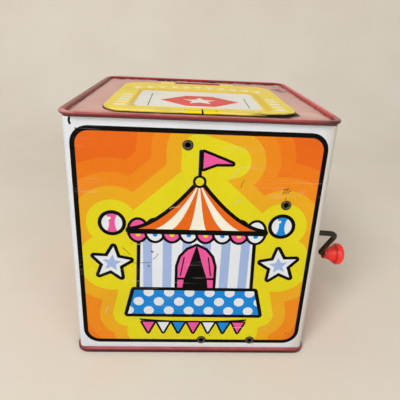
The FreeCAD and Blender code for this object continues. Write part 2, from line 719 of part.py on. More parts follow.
def build_gear(label, teeth, bore, z, half_step):
    """A stub-toothed gear; half_step puts a gap instead of a tooth on its starting line."""
    body = new_body(label)
    pitch = d.gear_module * (teeth / 2)
    root, tip = pitch - d.gear_module * 1.1, pitch + d.gear_module * 0.8
    disc = sketch_on(body, "XY")
    ring(disc, root)
    ring(disc, bore)
    pad(body, disc, d.gear_width)
    turn = math.pi / teeth if half_step else 0.0
    tooth = sketch_on(body, "XY")
    corners = []
    for radius, half in ((root - d.gear_module * 0.3, 0.95), (pitch, 0.6), (tip, 0.34),
                         (tip, -0.34), (pitch, -0.6), (root - d.gear_module * 0.3, -0.95)):
        across = d.gear_module * half
        corners.append((radius * math.cos(turn) - across * math.sin(turn),
                        radius * math.sin(turn) + across * math.cos(turn)))
    outline(sketch=tooth, corners=corners[::-1])
    first = pad(body, tooth, d.gear_width)
    pattern = body.newObject("PartDesign::PolarPattern", f"{label}_teeth")
    pattern.Originals = [first]
    pattern.Axis = (origin_of(body, "Z_Axis"), [""])
    pattern.Angle = 360
    pattern.Occurrences = teeth
    body.Tip = pattern
    body.Placement = Placement(Vector(), TURN_TO["X"])
    place(body, d.gear_start, crank_y, z)
    doc.recompute()


def build_drum():
    bore = d.axle_radius + d.running_clearance
    barrel = rod(d.drum_radius, "X", 0, d.drum_length, crank_y, drum_z)
    nubs = []
    for i in range(24):
        angle = math.radians(i * 137.5)
        nub = doc.addObject("Part::Cylinder", "nub")
        nub.Radius = 0.5
        bind(nub, "Height", d.nub_height + 1)
        out = Vector(0, math.cos(angle), math.sin(angle))
        nub.Placement = Placement(Vector(), Rotation(Vector(0, 0, 1), out))
        start = d.drum_radius - 1
        place(nub, 3 + 1.5 * (i * 7 % 24), crank_y + start * out.y, drum_z + start * out.z)
        nubs.append(nub)
    hollow = rod(bore, "X", -1, d.drum_length + 2, crank_y, drum_z)
    keep(cut(fuse(barrel, *nubs), hollow), "music_drum")
    disc = rod(d.drum_radius, "X", cam_face, d.cam_sheet, crank_y, drum_z)
    lobe = rod(1.8, "X", cam_tip, d.cam_lobe + d.cam_sheet / 2, crank_y + d.cam_orbit, drum_z)
    keep(cut(fuse(disc, lobe), rod(bore, "X", cam_tip - 1, d.cam_lobe + d.cam_sheet + 2, crank_y, drum_z)),
         "release_cam")
    span = d.frame_right - d.frame_left + 2
    keep(rod(d.axle_radius, "X", d.frame_left - 1, span, crank_y, drum_z), "drum_axle")


def build_frame():
    top = drum_z + d.frame_head
    plate = block(d.frame_left, d.frame_right, frame_front, frame_back, d.frame_foot, top)
    low = d.crank_rise - d.cheek_drop
    depth = frame_front + d.frame_depth
    cheeks = [block(d.frame_left, cheek_left, frame_front, depth, low, top),
              block(cheek_right, d.frame_right, frame_front, depth, low, top)]
    low_stop = lever_z - d.latch_leg_down - d.stop_height * 0.4
    high_stop = low_stop + d.stop_height
    stop_x = d.lever_x + d.latch_coil_radius + d.latch_wire_radius + d.running_clearance
    web_x = d.lever_x + d.lever_arm_width + d.stop_height * 0.8
    leg_y = latch_coil_y + 2 * d.latch_coil_pitch
    strip = block(web_x, web_x + d.stop_height, frame_front, frame_back, top - d.stop_height, high_stop)
    web = block(web_x, web_x + d.frame_sheet, frame_front, leg_y + 2 * d.frame_sheet, low_stop, high_stop)
    stop = block(stop_x, web_x + d.frame_sheet, leg_y - 2 * d.frame_sheet, leg_y + 2 * d.frame_sheet,
                 low_stop, high_stop)
    start, length = d.frame_left - 1, d.frame_right - d.frame_left + 2
    holes = [rod(d.crank_wire_radius + d.running_clearance, "X", start, length, crank_y, d.crank_rise),
             rod(d.axle_radius + d.running_clearance, "X", start, length, crank_y, drum_z)]
    holes += [rod(d.rivet_shank_radius + d.running_clearance, "Y", front, 4, x, z) for x, z in RIVET_SPOTS]
    keep(cut(fuse(plate, strip, web, stop, *cheeks), *holes), "movement_frame")


def build_comb():
    back = crank_y - d.drum_radius - d.nub_height - d.comb_clearance
    face = back - d.comb_sheet
    low = drum_z - d.comb_height
    left = (d.drum_length - d.comb_width) / 2
    body = new_body("comb")
    plate = sketch_on(body, "XZ", -back)
    rectangle(plate, left, left + d.comb_width, low, drum_z)
    pad(body, plate, d.comb_sheet)
    teeth = 18
    pitch = d.comb_width / teeth
    slot = sketch_on(body, "XZ", -back)
    rectangle(slot, left + pitch - d.comb_slot / 2, left + pitch + d.comb_slot / 2,
              low + d.comb_root, drum_z + 1)
    first = pocket(body, slot, d.comb_sheet + 1, backwards=True)
    pattern = body.newObject("PartDesign::LinearPattern", "comb_slots")
    pattern.Originals = [first]
    pattern.Direction = (origin_of(body, "X_Axis"), [""])
    bind(pattern, "Length", pitch * (teeth - 2))
    pattern.Occurrences = teeth - 1
    body.Tip = pattern
    doc.recompute()
    holes = sketch_on(body, "XZ", -back)
    spots = [left + d.comb_width / 5, left + d.comb_width * 0.8]
    middle = low + d.comb_root / 2
    for x in spots:
        ring(holes, d.screw_radius + d.running_clearance, x, middle)
    pocket(body, holes, d.comb_sheet + 1, backwards=True)
    holder = block(left, left + d.comb_width, frame_back, face, low, low + d.comb_root)
    bore = d.screw_radius + d.running_clearance
    keep(cut(holder, *[rod(bore, "Y", frame_back, face - frame_back + 1, x, middle) for x in spots]),
         "comb_block")
    screws = []
    for x in spots:
        shank = rod(d.screw_radius, "Y", face - d.screw_grip, d.comb_sheet + d.screw_grip, x, middle)
        head = rod(d.screw_head_radius, "Y", back, d.screw_head_height, x, middle)
        wide, half = d.screw_head_radius * 1.1, d.screw_slit / 2
        slit = block(x - wide, x + wide, back + d.screw_head_height / 2, back + d.screw_head_height * 1.5,
                     middle - half, middle + half)
        screws.append(cut(fuse(shank, head), slit))
    group("comb_screws", *screws)


# The latch.

def build_latch():
    near = frame_back + d.lever_play
    far = near + d.lever_sheet
    foot = drum_z + d.axle_radius
    tip = lever_z + d.lever_reach
    nose = d.lever_x - d.hook_left
    heel = d.lever_x + d.hook_right
    arm_left = follower_x - d.follower_width * 0.25
    arm = block(arm_left, arm_left + d.lever_arm_width, near, far, foot, lever_z)
    upper = block(nose, heel, near, far, lever_z, tip)
    boss = rod(d.lever_boss_radius, "Y", near, d.lever_sheet, d.lever_x, lever_z)
    follower = block(follower_x - d.follower_width, follower_x, near,
                     crank_y - d.cam_orbit + d.follower_width, foot, foot + d.follower_width)
    finger = block(nose, heel, near, tongue_y + d.tongue_sheet + d.lever_sheet, tip - d.hook_height, tip)
    bore = d.rivet_shank_radius + d.running_clearance
    hole = rod(bore, "Y", near - 1, d.lever_sheet + 2, d.lever_x, lever_z)
    keep(cut(fuse(arm, upper, boss, follower, finger), hole), "latch_lever")
    right = nose - d.lever_clearance
    plate = block(right - d.tongue_width, right, tongue_y, tongue_y + d.tongue_sheet,
                  lid_under - d.tongue_length, lid_under)
    notch = block(right - d.hook_height, right + 1, tongue_y - 1, tongue_y + d.tongue_sheet + 1,
                  tip - d.hook_height - 2 * d.lever_clearance, tip + 1.6 * d.lever_clearance)
    wide, deep = d.emboss_width / 2 + d.emboss_slope, d.emboss_depth / 2 + d.emboss_slope
    bulge = block(-wide, wide, -deep - d.emboss_shift, deep - d.emboss_shift,
                  lid_under - d.emboss_sink, lid_under + 1)
    keep(cut(plate, notch, bulge), "lid_tongue")


def arc_between(start, way, end):
    """The arc that leaves start along way and meets end."""
    chord = end - start
    ahead = Vector(chord).normalize()
    sideways = way - ahead * way.dot(ahead)
    if sideways.Length < 1e-7:
        return Part.LineSegment(start, end).toShape()
    angle = math.acos(max(-1, min(1, way.dot(ahead))))
    rise = chord.Length / 2 * math.tan(angle / 2)
    return Part.Arc(start, (start + end) * 0.5 + sideways.normalize() * rise, end).toShape()


def biarc(start, start_way, end, end_way):
    chord = end - start
    both = start_way + end_way
    spread = 2 * (1 - start_way.dot(end_way))
    reach = chord.dot(both)
    step = (-reach + math.sqrt(reach ** 2 + spread * chord.dot(chord))) / spread
    joint = (start + end + (start_way - end_way) * step) * 0.5
    second = arc_between(end, end_way * -1, joint)
    return [arc_between(start, start_way, joint), second.reversed()]


def coil(radius, turns, rise, lift):
    """Quarter-turn arcs of a coil around +Z, from (radius, 0, lift), rise per turn."""
    slope = rise / (2 * math.pi * radius)
    scale = 1 / math.sqrt(1 + slope ** 2)

    def at(quarter):
        angle = quarter * math.pi / 2
        spot = Vector(radius * math.cos(angle), radius * math.sin(angle), lift + rise * quarter / 4)
        way = Vector(-math.sin(angle), math.cos(angle), slope) * scale
        return spot, way

    edges = []
    for quarter in range(int(turns * 4)):
        edges += biarc(*at(quarter), *at(quarter + 1))
    return edges, at(0), at(int(turns * 4))


def wound(label, edges, wire_radius, placement):
    """One unbroken wire along a path; prints its least gap to itself."""
    path = Part.Wire(edges)
    start = path.Edges[0]
    way = start.tangentAt(start.FirstParameter)
    ring_wire = Part.Wire(Part.makeCircle(wire_radius, start.valueAt(start.FirstParameter), way))
    obj = doc.addObject("Part::Feature", label)
    obj.Shape = path.makePipeShell([ring_wire], True, False)
    obj.Placement = placement
    points = path.discretize(Distance=wire_radius)
    apart = int(3 * math.pi)
    gaps = [(points[i] - points[j]).Length for i in range(len(points)) for j in range(i + apart, len(points))]
    print(label, "least gap to itself", round(min(gaps) - 2 * wire_radius, 2), "mm")
    return keep(obj, label)


def build_springs():
    wire = d.spring_wire_radius.value
    lift = (d.base_sheet + d.cup_sheet + d.lever_clearance).value + wire
    top = (packed_height - d.seam_clearance).value - wire
    turns = 6
    edges, head, tail = coil(d.spring_radius.value, turns, (top - lift) / turns, lift)
    wound("jack_spring", edges, wire, Placement(Vector(0, d.jack_setback.value, 0), Rotation()))
    turns = coil(d.latch_coil_radius.value, 2, d.latch_coil_pitch.value, 0)
    edges, (head, head_way), (tail, tail_way) = turns
    first = Part.LineSegment(head - head_way * d.latch_leg_up.value, head).toShape()
    last = Part.LineSegment(tail, tail + tail_way * d.latch_leg_down.value).toShape()
    stand = Placement(Vector(d.lever_x.value, latch_coil_y.value, lever_z.value), TURN_TO["Y"])
    wound("latch_spring", [first] + edges + [last], d.latch_wire_radius.value, stand)


# The figure.

def build_figure_base():
    lip = d.lip_sheet
    inner = d.spring_radius - d.spring_wire_radius - lip
    wide = d.spring_radius + d.lip_height
    floor = d.base_sheet
    seat = floor + d.cup_sheet
    turned("spring_base", [
        (d.hub_radius, floor), (wide, floor), (wide, seat), (inner, seat),
        (inner - 2 * lip, seat + d.lip_height), (inner - 3 * lip, seat + d.lip_height), (inner - lip, seat),
        (d.hub_radius, seat)])
    under = packed_height
    over = under + d.cup_sheet
    hole, rim = d.hub_radius / 2, d.garment_radius - lip
    turned("spring_cup", [
        (hole, under), (inner - lip, under), (inner - 3 * lip, under - d.lip_height),
        (inner - 2 * lip, under - d.lip_height), (inner, under), (rim, under), (rim, over), (hole, over)])
    pleats = 8
    low = d.base_sheet + d.cup_sheet + d.lever_clearance
    step = (packed_height - d.seam_clearance - low) / (2 * pleats)
    outer = []
    inner_side = []
    for i in range(2 * pleats + 1):
        radius = d.garment_radius - (d.garment_pleat if i % 2 else 0)
        outer.append((radius, low + step * i))
        inner_side.append((radius - d.garment_sheet, low + step * i))
    turned("garment", outer + inner_side[::-1])
    ruff_low = over + 0.1
    ruff_mid = ruff_low + d.ruff_height / 2
    hole = d.neck_radius + 0.3
    turned("collar_ruff", [
        (hole, ruff_low), (d.ruff_radius - 2, ruff_low), (d.ruff_radius, ruff_mid),
        (d.ruff_radius - 2, ruff_low + d.ruff_height), (hole, ruff_low + d.ruff_height)])
    for label in ("spring_base", "spring_cup", "garment", "collar_ruff"):
        place(PARTS[label], 0, d.jack_setback, 0)


def build_head():
    foot = packed_height + d.cup_sheet
    middle = packed_height + d.head_rise
    inner = d.head_radius - d.head_wall
    throat = d.neck_radius - d.head_wall
    turned("head", [
        (throat, foot), (d.neck_radius, foot),
        (d.neck_radius, middle - d.head_radius.leg(d.neck_radius)),
        (d.head_radius, middle, d.head_radius, 1), (0, middle + d.head_radius, d.head_radius, 1),
        (0, middle + inner), (inner, middle, inner, -1),
        (throat, middle - inner.leg(throat), inner, -1)])
    brim_low = middle + d.brim_rise
    hole = d.head_radius.leg(d.brim_rise) + 0.1
    brim_top = brim_low + d.brim_height
    wide = hole + d.brim_width
    turned("cap_brim", [
        (hole, brim_low), (wide - 0.8, brim_low), (wide, brim_low + d.brim_height / 2),
        (wide - 0.8, brim_top), (hole, brim_top)])
    tip = brim_top + d.cap_height
    base = hole + d.cap_wall + 0.2
    turned("cap", [
        (base - d.cap_wall, brim_top), (base, brim_top), (1.6, tip), (0, tip), (0, tip - 3 * d.cap_wall)])
    for label in ("head", "cap_brim", "cap"):
        place(PARTS[label], 0, d.jack_setback, 0)
    y = d.jack_setback
    seat = ball(d.head_radius + 0.05, 0, y, middle, seam=90)
    nose = ball(d.nose_radius, 0, y - d.head_radius - d.nose_radius * 0.35, middle - 2, seam=270)
    keep(cut(nose, seat), "nose")
    tufts = [cut(ball(d.tuft_radius, way * d.head_radius, y + 3, middle + 1, seam=90 - 90 * way), seat)
             for way in (-1, 1)]
    group("hair_tufts", *tufts)
    top = ball(d.pompom_radius, 0, y, tip + d.pompom_radius * 0.75)
    deep = 3 * d.pompom_radius
    keep(cut(top, rod(d.pompom_radius, "Z", tip - deep, deep, 0, y)), "cap_pompom")


def build_arms():
    shoulder_x = d.garment_radius + d.sleeve_radius - 0.9
    hand_x = shoulder_x + d.arm_reach
    low, high = packed_height - d.shoulder_drop, packed_height + d.hand_rise
    for way, label in ((-1, "right"), (1, "left")):
        start = Vector(way * shoulder_x.value, d.jack_setback.value, low.value)
        end = Vector(way * hand_x.value, d.jack_setback.value, high.value)
        along = (end - start).normalize()
        sleeve = doc.addObject("Part::Cone", "sleeve")
        bind(sleeve, "Radius1", d.sleeve_radius)
        bind(sleeve, "Radius2", d.cuff_radius)
        sleeve.Height = (end - start).Length - d.hand_radius.value
        sleeve.Placement = Placement(start, Rotation(Vector(0, 0, 1), along))
        keep(sleeve, f"{label}_arm")
        hand = ball(d.hand_radius, way * hand_x, d.jack_setback, high + 0.2)
        keep(hand, f"{label}_hand")


build_walls()
build_base()
build_top()
build_lid()
build_hinge()
build_rivets()
build_crank()
build_bush()
build_gear("drive_pinion", PINION_TEETH, d.crank_wire_radius + d.running_clearance, d.crank_rise, False)
build_gear("drum_wheel", WHEEL_TEETH, d.axle_radius + d.running_clearance, drum_z, True)
build_drum()
build_frame()
build_comb()
build_latch()
build_springs()
build_figure_base()
build_head()
build_arms()
doc.recompute()

for obj in doc.Objects:
    if "Invalid" in obj.State or "Error" in obj.State:
        raise RuntimeError(f"{obj.Label}: {obj.State}")
for label, obj in PARTS.items():
    if obj.Shape.isNull() or not obj.Shape.isValid() or not obj.Shape.Solids:
        raise RuntimeError(f"{label} has no valid solid")

os.makedirs("parts", exist_ok=True)
for label, obj in PARTS.items():
    obj.Shape.exportStep(f"parts/{label}.step")
print(len(PARTS), "pieces")
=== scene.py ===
"""Looks for a tin jack in the box: printed walls and lid, crank, movement and the sprung figure inside.

Shapes are written in millimetres, +Z up and the front towards -Y; MM turns them into Blender's metres.
"""
import json
import random
from functools import partialmethod
from math import atan2, ceil, copysign, cos, hypot, pi, radians, sin, sqrt

import bmesh
import bpy
from mathutils import Matrix, Vector, geometry, noise


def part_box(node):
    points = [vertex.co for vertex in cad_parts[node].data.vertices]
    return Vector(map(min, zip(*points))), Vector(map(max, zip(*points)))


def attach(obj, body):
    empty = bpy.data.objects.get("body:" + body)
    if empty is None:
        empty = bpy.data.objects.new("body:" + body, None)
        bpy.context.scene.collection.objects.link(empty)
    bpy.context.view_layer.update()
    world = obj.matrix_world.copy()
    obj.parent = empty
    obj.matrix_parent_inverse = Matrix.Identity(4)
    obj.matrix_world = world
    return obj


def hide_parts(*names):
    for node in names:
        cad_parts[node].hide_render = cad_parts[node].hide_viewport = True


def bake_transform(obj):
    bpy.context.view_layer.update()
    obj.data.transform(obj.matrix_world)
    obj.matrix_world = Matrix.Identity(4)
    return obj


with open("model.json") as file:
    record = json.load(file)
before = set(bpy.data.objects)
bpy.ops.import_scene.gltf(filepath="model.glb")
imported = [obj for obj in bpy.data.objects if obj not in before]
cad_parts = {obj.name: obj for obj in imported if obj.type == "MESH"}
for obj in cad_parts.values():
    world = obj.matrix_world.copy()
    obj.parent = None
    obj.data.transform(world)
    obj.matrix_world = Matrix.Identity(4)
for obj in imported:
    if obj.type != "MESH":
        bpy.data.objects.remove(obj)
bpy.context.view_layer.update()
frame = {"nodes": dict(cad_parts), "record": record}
NODES = frame["nodes"]
JOINTS = {joint["name"]: joint for joint in frame["record"]["behaviour"]["joints"]}
MM = 0.001
TURN = 2 * pi
random.seed(11)


def reach(node):
    """The lowest and the highest corner of a CAD node, in millimetres."""
    return [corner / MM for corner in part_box(node)]


def heights(node):
    return [corner.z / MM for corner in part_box(node)]


def new_piece(name, data):
    piece = bpy.data.objects.new(name, data)
    bpy.context.scene.collection.objects.link(piece)
    return piece


WALL = round(reach("box_body")[1].x, 3)
RIM_TOP = round(heights("top_plate")[1], 3)
BASE_TOP = round(heights("base_plate")[1], 3)
CRANK_Y, CRANK_Z = (v / MM for v in JOINTS["crank_turn"]["pos_m"][1:])
RIVETS = ((-6.6, 129.7), (45.8, 98.75), (5.1, 8.8), (34.3, 8.8))  # along and up the front
CORNER = 3.0  # upright corners of the walls
SKIN = 0.06  # how far a print lies outside its tin
LID_TOP = 144.0
LID_CORNER = 14.0
LID_CORE = (37.5, 35.4)  # half sizes of the lid without its corners
LID_MIDDLE = -5.8
FIELD_CORE = (31.0, 24.75)  # half sizes of the lid's sunk field without its corners
FIELD_MIDDLE = -17.75
FIELD_CORNER, FIELD_SLOPE, FIELD_SINK = 4.0, 3.5, 0.8
AXIS = Vector((0, 4, 0))  # the figure's upright axis
HEAD, HEAD_RADIUS = Vector((0, 4, 82)), 26.0


# Camera, at the photograph's viewing angle.

PIXELS = 400
FOCUS_PIXELS = 397.92
SHIFT_PIXELS = (-4.25, -18.95)
VIEW_TURN = (-3.344, 21.295, 2.881)  # yaw, pitch down and roll in degrees
VIEW_SPOT = Vector((-8.71, -254.72, 184.27))
SENSOR = 36


def make_camera():
    data = bpy.data.cameras.new("camera")
    data.sensor_width = SENSOR
    data.lens = SENSOR * FOCUS_PIXELS / PIXELS
    data.shift_x, data.shift_y = (v / PIXELS for v in SHIFT_PIXELS)
    data.clip_start = 0.01
    yaw, pitch, roll = (radians(v) for v in VIEW_TURN)
    place = Matrix.Translation(VIEW_SPOT * MM)
    for angle, axis in ((yaw, "Z"), (pi / 2 - pitch, "X"), (roll, "Z")):
        place = place @ Matrix.Rotation(angle, 4, axis)
    camera = new_piece("camera", data)
    camera.matrix_world = place
    bpy.context.scene.camera = camera


make_camera()


# Materials.

def rgb(r, g, b):
    def linear(v):
        v = v / 255
        return v / 12.92 if v <= 0.04045 else ((v + 0.055) / 1.055) ** 2.4
    return (linear(r), linear(g), linear(b), 1)


def tint(colour, by):
    return tuple(min(1, v * by) for v in colour[:3]) + (1,)


class Nodes:
    """The nodes of a material or world, added one call at a time."""

    def __init__(self, owner, shader):
        owner.use_nodes = True
        self.owner = owner
        self.tree = owner.node_tree
        self.shader = self.tree.nodes[shader]

    def put(self, socket, value):
        if isinstance(value, bpy.types.NodeSocket):
            self.tree.links.new(value, socket)
        else:
            socket.default_value = value

    def add(self, kind, inputs=None, **settings):
        node = self.tree.nodes.new(kind)
        for name, value in settings.items():
            setattr(node, name, value)
        for name, value in (inputs or {}).items():
            self.put(node.inputs[name], value)
        return node

    def set(self, **values):
        for name, value in values.items():
            self.put(self.shader.inputs[name.replace("_", " ")], value)
        return self.owner

    def math(self, operation, a, b=0.0):
        return self.add("ShaderNodeMath", {0: a, 1: b}, operation=operation).outputs[0]

    times = partialmethod(math, "MULTIPLY")
    plus = partialmethod(math, "ADD")
    minus = partialmethod(math, "SUBTRACT")
    larger = partialmethod(math, "MAXIMUM")
    size = partialmethod(math, "ABSOLUTE")


class Paint(Nodes):
    """A material, with the tone that its coats have reached."""

    def __init__(self, name):
        super().__init__(bpy.data.materials.new(name), "Principled BSDF")
        self.where = self.add("ShaderNodeTexCoord").outputs["Object"]
        self.tone = None

    def scaled(self, scale, turn=(0, 0, 0)):
        inputs = {"Vector": self.where, "Scale": scale, "Rotation": turn}
        return self.add("ShaderNodeMapping", inputs).outputs[0]

    def noise(self, scale, detail=3, stretch=None, turn=(0, 0, 0), shift=0.0):
        where = self.scaled(stretch, turn) if stretch else self.where
        inputs = {"Vector": where, "Scale": scale, "Detail": detail, "W": shift}
        return self.add("ShaderNodeTexNoise", inputs, noise_dimensions="4D").outputs["Fac"]

    def band(self, value, low, high, to_low=0.0, to_high=1.0):
        inputs = {"Value": value, "From Min": low, "From Max": high, "To Min": to_low, "To Max": to_high}
        return self.add("ShaderNodeMapRange", inputs).outputs[0]

    def zone(self, length, low, high, to_low=0.0, to_high=1.0):
        """A band over a length on the object, with its limits in millimetres."""
        return self.band(length, low * MM, high * MM, to_low, to_high)

    def axes(self):
        parts = self.add("ShaderNodeSeparateXYZ", {"Vector": self.where})
        return [parts.outputs[name] for name in "XYZ"]

    def mix(self, amount, a, b, blend="MIX"):
        inputs = {0: amount, 6: a, 7: b}
        return self.add("ShaderNodeMix", inputs, data_type="RGBA", blend_type=blend).outputs[2]

    def coat(self, colour, *masks, blend="MIX"):
        """Lays a colour over the tone as far as the masks, multiplied together, let it."""
        amount = masks[0]
        for mask in masks[1:]:
            amount = self.times(amount, mask)
        self.tone = self.mix(amount, self.tone, colour, blend)

    def bump(self, height, strength, depth):
        inputs = {"Height": height, "Strength": strength, "Distance": depth * MM}
        if self.shader.inputs["Normal"].is_linked:
            inputs["Normal"] = self.shader.inputs["Normal"].links[0].from_socket
        self.set(Normal=self.add("ShaderNodeBump", inputs).outputs[0])


def mottled(p, colour, spread=0.06, scale=40, shift=0.0):
    """The colour with slow and fine changes of tone."""
    slow = p.band(p.noise(scale, 4, shift=shift), 0.3, 0.7)
    tone = p.mix(slow, tint(colour, 1 - spread), tint(colour, 1 + spread))
    fine = p.band(p.noise(scale * 22, 2, shift=shift + 3), 0.35, 0.65)
    return p.mix(p.times(fine, 0.5), tone, tint(colour, 1 - spread * 1.4))


def scuffs(p, width=0.012, turn=0.5, scale=16, shift=0.0):
    """A mask of thin scratches that run about one way."""
    lines = p.noise(scale, 1, stretch=(1, 1, 26), turn=(0, turn, turn), shift=shift)
    near = p.band(p.size(p.minus(lines, 0.5)), width, 0)
    return p.times(near, p.band(p.noise(30, 2, shift=shift + 5), 0.55, 0.66))


def tin_finish(p, gloss, shine):
    rough = p.band(p.noise(60, 4, shift=7), 0.3, 0.75, gloss, gloss + 0.18)
    p.bump(p.noise(26, 1, shift=2), 0.12, 0.8)
    p.bump(p.noise(900, 2, shift=4), 0.05, 0.1)
    return p.set(Base_Color=p.tone, Roughness=rough, Specular_IOR_Level=shine)


def print_ink(name, colour, gloss, shine, corner_shade=None):
    """Litho ink under old varnish: screen dots, grime, hairline scuffs; by the front right corner a painted
    shade, warmed by a painted reflection of the beige room.
    """
    p = Paint("ink_" + name)
    p.tone = mottled(p, colour, 0.045)
    dots = p.add("ShaderNodeTexVoronoi", {"Vector": p.where, "Scale": 1500.0, "Randomness": 0.25})
    p.coat(tint(colour, 0.72), p.band(dots.outputs["Distance"], 0.28, 0.42), 0.1)
    p.coat(rgb(120, 96, 70), p.band(p.noise(20, 6, shift=9), 0.52, 0.82), 0.28, blend="MULTIPLY")
    p.coat(rgb(206, 200, 190), scuffs(p), 0.4)
    p.coat(rgb(70, 52, 40), p.band(p.noise(420, 2, shift=1), 0.74, 0.78), 0.55)
    if corner_shade:
        x, y, _ = p.axes()
        # painted shade and reflection: the white turns beige by the front right corner
        p.coat(corner_shade, p.zone(x, WALL - 8, WALL - 0.5), p.zone(y, 9 - WALL, 1 - WALL))
    return tin_finish(p, gloss, shine)


INKS = {
    "white": rgb(224, 228, 233),
    "cream": rgb(240, 236, 216),
    "black": rgb(4, 3, 3),
    "deep": rgb(227, 101, 8),
    "orange": rgb(231, 117, 10),
    "light": rgb(233, 134, 14),
    "amber": rgb(230, 166, 20),
    "yellow": rgb(222, 209, 17),
    "lid_yellow": rgb(247, 223, 102),
    # deeper yellow, a painted shade for the slope of the lid's sunk field
    "lid_ochre": rgb(238, 202, 78),
    "lid_cream": rgb(248, 243, 216),
    "lid_white": rgb(240, 238, 228),
    "lid_red": rgb(232, 102, 92),
    "lid_black": rgb(20, 17, 14),
    "bright": rgb(250, 222, 30),
    "blue": rgb(4, 132, 214),
    "pale_blue": rgb(158, 178, 221),
    "pink": rgb(232, 84, 154),
    "rust": rgb(112, 66, 38),
    "stain": rgb(128, 62, 32),
    "scrape": rgb(196, 190, 182),
    "mouth": rgb(196, 64, 66),
    "blush": rgb(236, 158, 140),
    "iris": rgb(78, 116, 140),
    "brow": rgb(120, 74, 40),
}
# the white in painted shade and beige reflection by the front right corner
SHADED_CORNER_WHITE = rgb(198, 189, 176)
ink_materials = {}


def ink(name):
    if name not in ink_materials:
        dull = name.startswith("lid") or name in ("bright", "black")
        gloss, shine = (0.5, 0.08) if dull else (0.22, 0.2)
        corner_shade = SHADED_CORNER_WHITE if name == "white" else None
        ink_materials[name] = print_ink(name, INKS[name], gloss, shine, corner_shade)
    return ink_materials[name]


def painted(name, colour, chips=0.0, under=(60, 46, 42), dirt=0.3):
    """Enamel on steel with grime in patches, hairline scuffs and chips down to the metal."""
    p = Paint(name)
    p.tone = mottled(p, colour, 0.07, 55)
    p.coat(rgb(110, 88, 72), p.band(p.noise(34, 6, shift=3), 0.5, 0.78), dirt, blend="MULTIPLY")
    p.coat(tint(colour, 1.7), scuffs(p, shift=2), 0.5)
    if chips:
        p.coat(rgb(*under), p.band(p.noise(160, 5, shift=8), 0.71 - chips, 0.735 - chips))
    return p


def enamel(name, colour, gloss, shine=0.2, **more):
    return tin_finish(painted(name, colour, **more), gloss, shine)


def steel(name, colour, rough=0.35, brushed=(1, 1, 1), stain=0.35):
    p = Paint(name)
    grain = p.noise(420, 3, stretch=brushed)
    p.tone = p.mix(p.band(grain, 0.3, 0.7), tint(colour, 0.86), tint(colour, 1.1))
    p.coat(rgb(96, 74, 58), p.band(p.noise(90, 5, shift=4), 0.52, 0.75), stain)
    rough = p.band(p.noise(150, 4, shift=6), 0.3, 0.7, rough, rough + 0.22)
    p.bump(grain, 0.12, 0.1)
    return p.set(Base_Color=p.tone, Metallic=1.0, Roughness=rough)


def plastic(name, colour, rough=0.3, flow=0.05, skin=0.0, shade_coats=None):
    """Moulded plastic; skin lets light into it, and the function given last adds coats of painted shade of
    its own.
    """
    p = Paint(name)
    p.tone = mottled(p, colour, flow, 70)
    p.coat(tint(colour, 1.5), scuffs(p, 0.02, 1.1, 40), 0.35)
    if shade_coats:
        shade_coats(p)
    if skin:
        p.set(Subsurface_Weight=skin, Subsurface_Radius=(0.004, 0.0016, 0.001))
    p.bump(p.noise(1100, 2), 0.06, 0.1)
    return p.set(Base_Color=p.tone, Roughness=p.band(p.noise(120, 4), 0.3, 0.7, rough, rough + 0.16))


def knob_crease_shade(p):
    """Painted shade in the knob's crease, which lies at its joint's point, and towards its neck."""
    pin, way = (JOINTS["knob_spin"][key] for key in ("pos_m", "axis"))
    off = p.add("ShaderNodeVectorMath", {0: p.where, 1: pin}, operation="SUBTRACT").outputs[0]
    along = p.add("ShaderNodeVectorMath", {0: off, 1: way}, operation="DOT_PRODUCT").outputs["Value"]
    # painted shade: dark red in the crease, then darker towards the neck
    p.coat(rgb(110, 12, 14), p.zone(p.size(along), 0.9, 0.1), 0.45)
    p.coat(rgb(96, 14, 14), p.zone(along, -4.0, -6.4, 0, 0.6))


def cloth(name, colour, thread=0.55, diamonds=None):
    """Woven cloth on its own flat map: over and under threads, diamonds of a second colour, soft nap."""
    p = Paint(name)
    p.where = p.add("ShaderNodeUVMap", uv_map="cloth").outputs[0]
    inputs = {"Vector": p.where, "Scale": 157 / thread, "Distortion": 0.6}
    across, along = (p.add("ShaderNodeTexWave", inputs, bands_direction=axis).outputs[1] for axis in "XY")
    weave = p.times(across, along)
    p.tone = colour
    if diamonds:
        turned = p.scaled((1, 0.62, 1), (0, 0, pi / 4))
        inputs = {"Vector": turned, "Color1": colour, "Color2": diamonds, "Scale": 84.0}
        p.tone = p.add("ShaderNodeTexChecker", inputs).outputs[0]
    p.coat(rgb(40, 24, 26), p.band(weave, 0.75, 0.1), 0.35, blend="MULTIPLY")
    p.coat(rgb(236, 226, 206), p.band(p.noise(60, 4), 0.4, 0.75), 0.22)
    p.bump(weave, 0.35, 0.2)
    p.bump(p.noise(260, 3), 0.12, 0.4)
    rough = p.band(p.noise(500, 2), 0.3, 0.7, 0.78, 0.95)
    return p.set(Base_Color=p.tone, Roughness=rough, Sheen_Weight=0.25, Sheen_Roughness=0.5)


def felt(name, colour):
    p = Paint(name)
    fibre = p.noise(900, 5, stretch=(1, 1, 0.4))
    p.tone = p.mix(p.band(fibre, 0.3, 0.72), tint(colour, 0.72), tint(colour, 1.16))
    p.coat(tint(colour, 1.5), p.band(p.noise(70, 4), 0.45, 0.75), 0.25)
    p.bump(fibre, 0.4, 0.4)
    rough = p.band(fibre, 0.3, 0.7, 0.84, 0.98)
    return p.set(Base_Color=p.tone, Roughness=rough, Sheen_Weight=0.35, Sheen_Roughness=0.6)


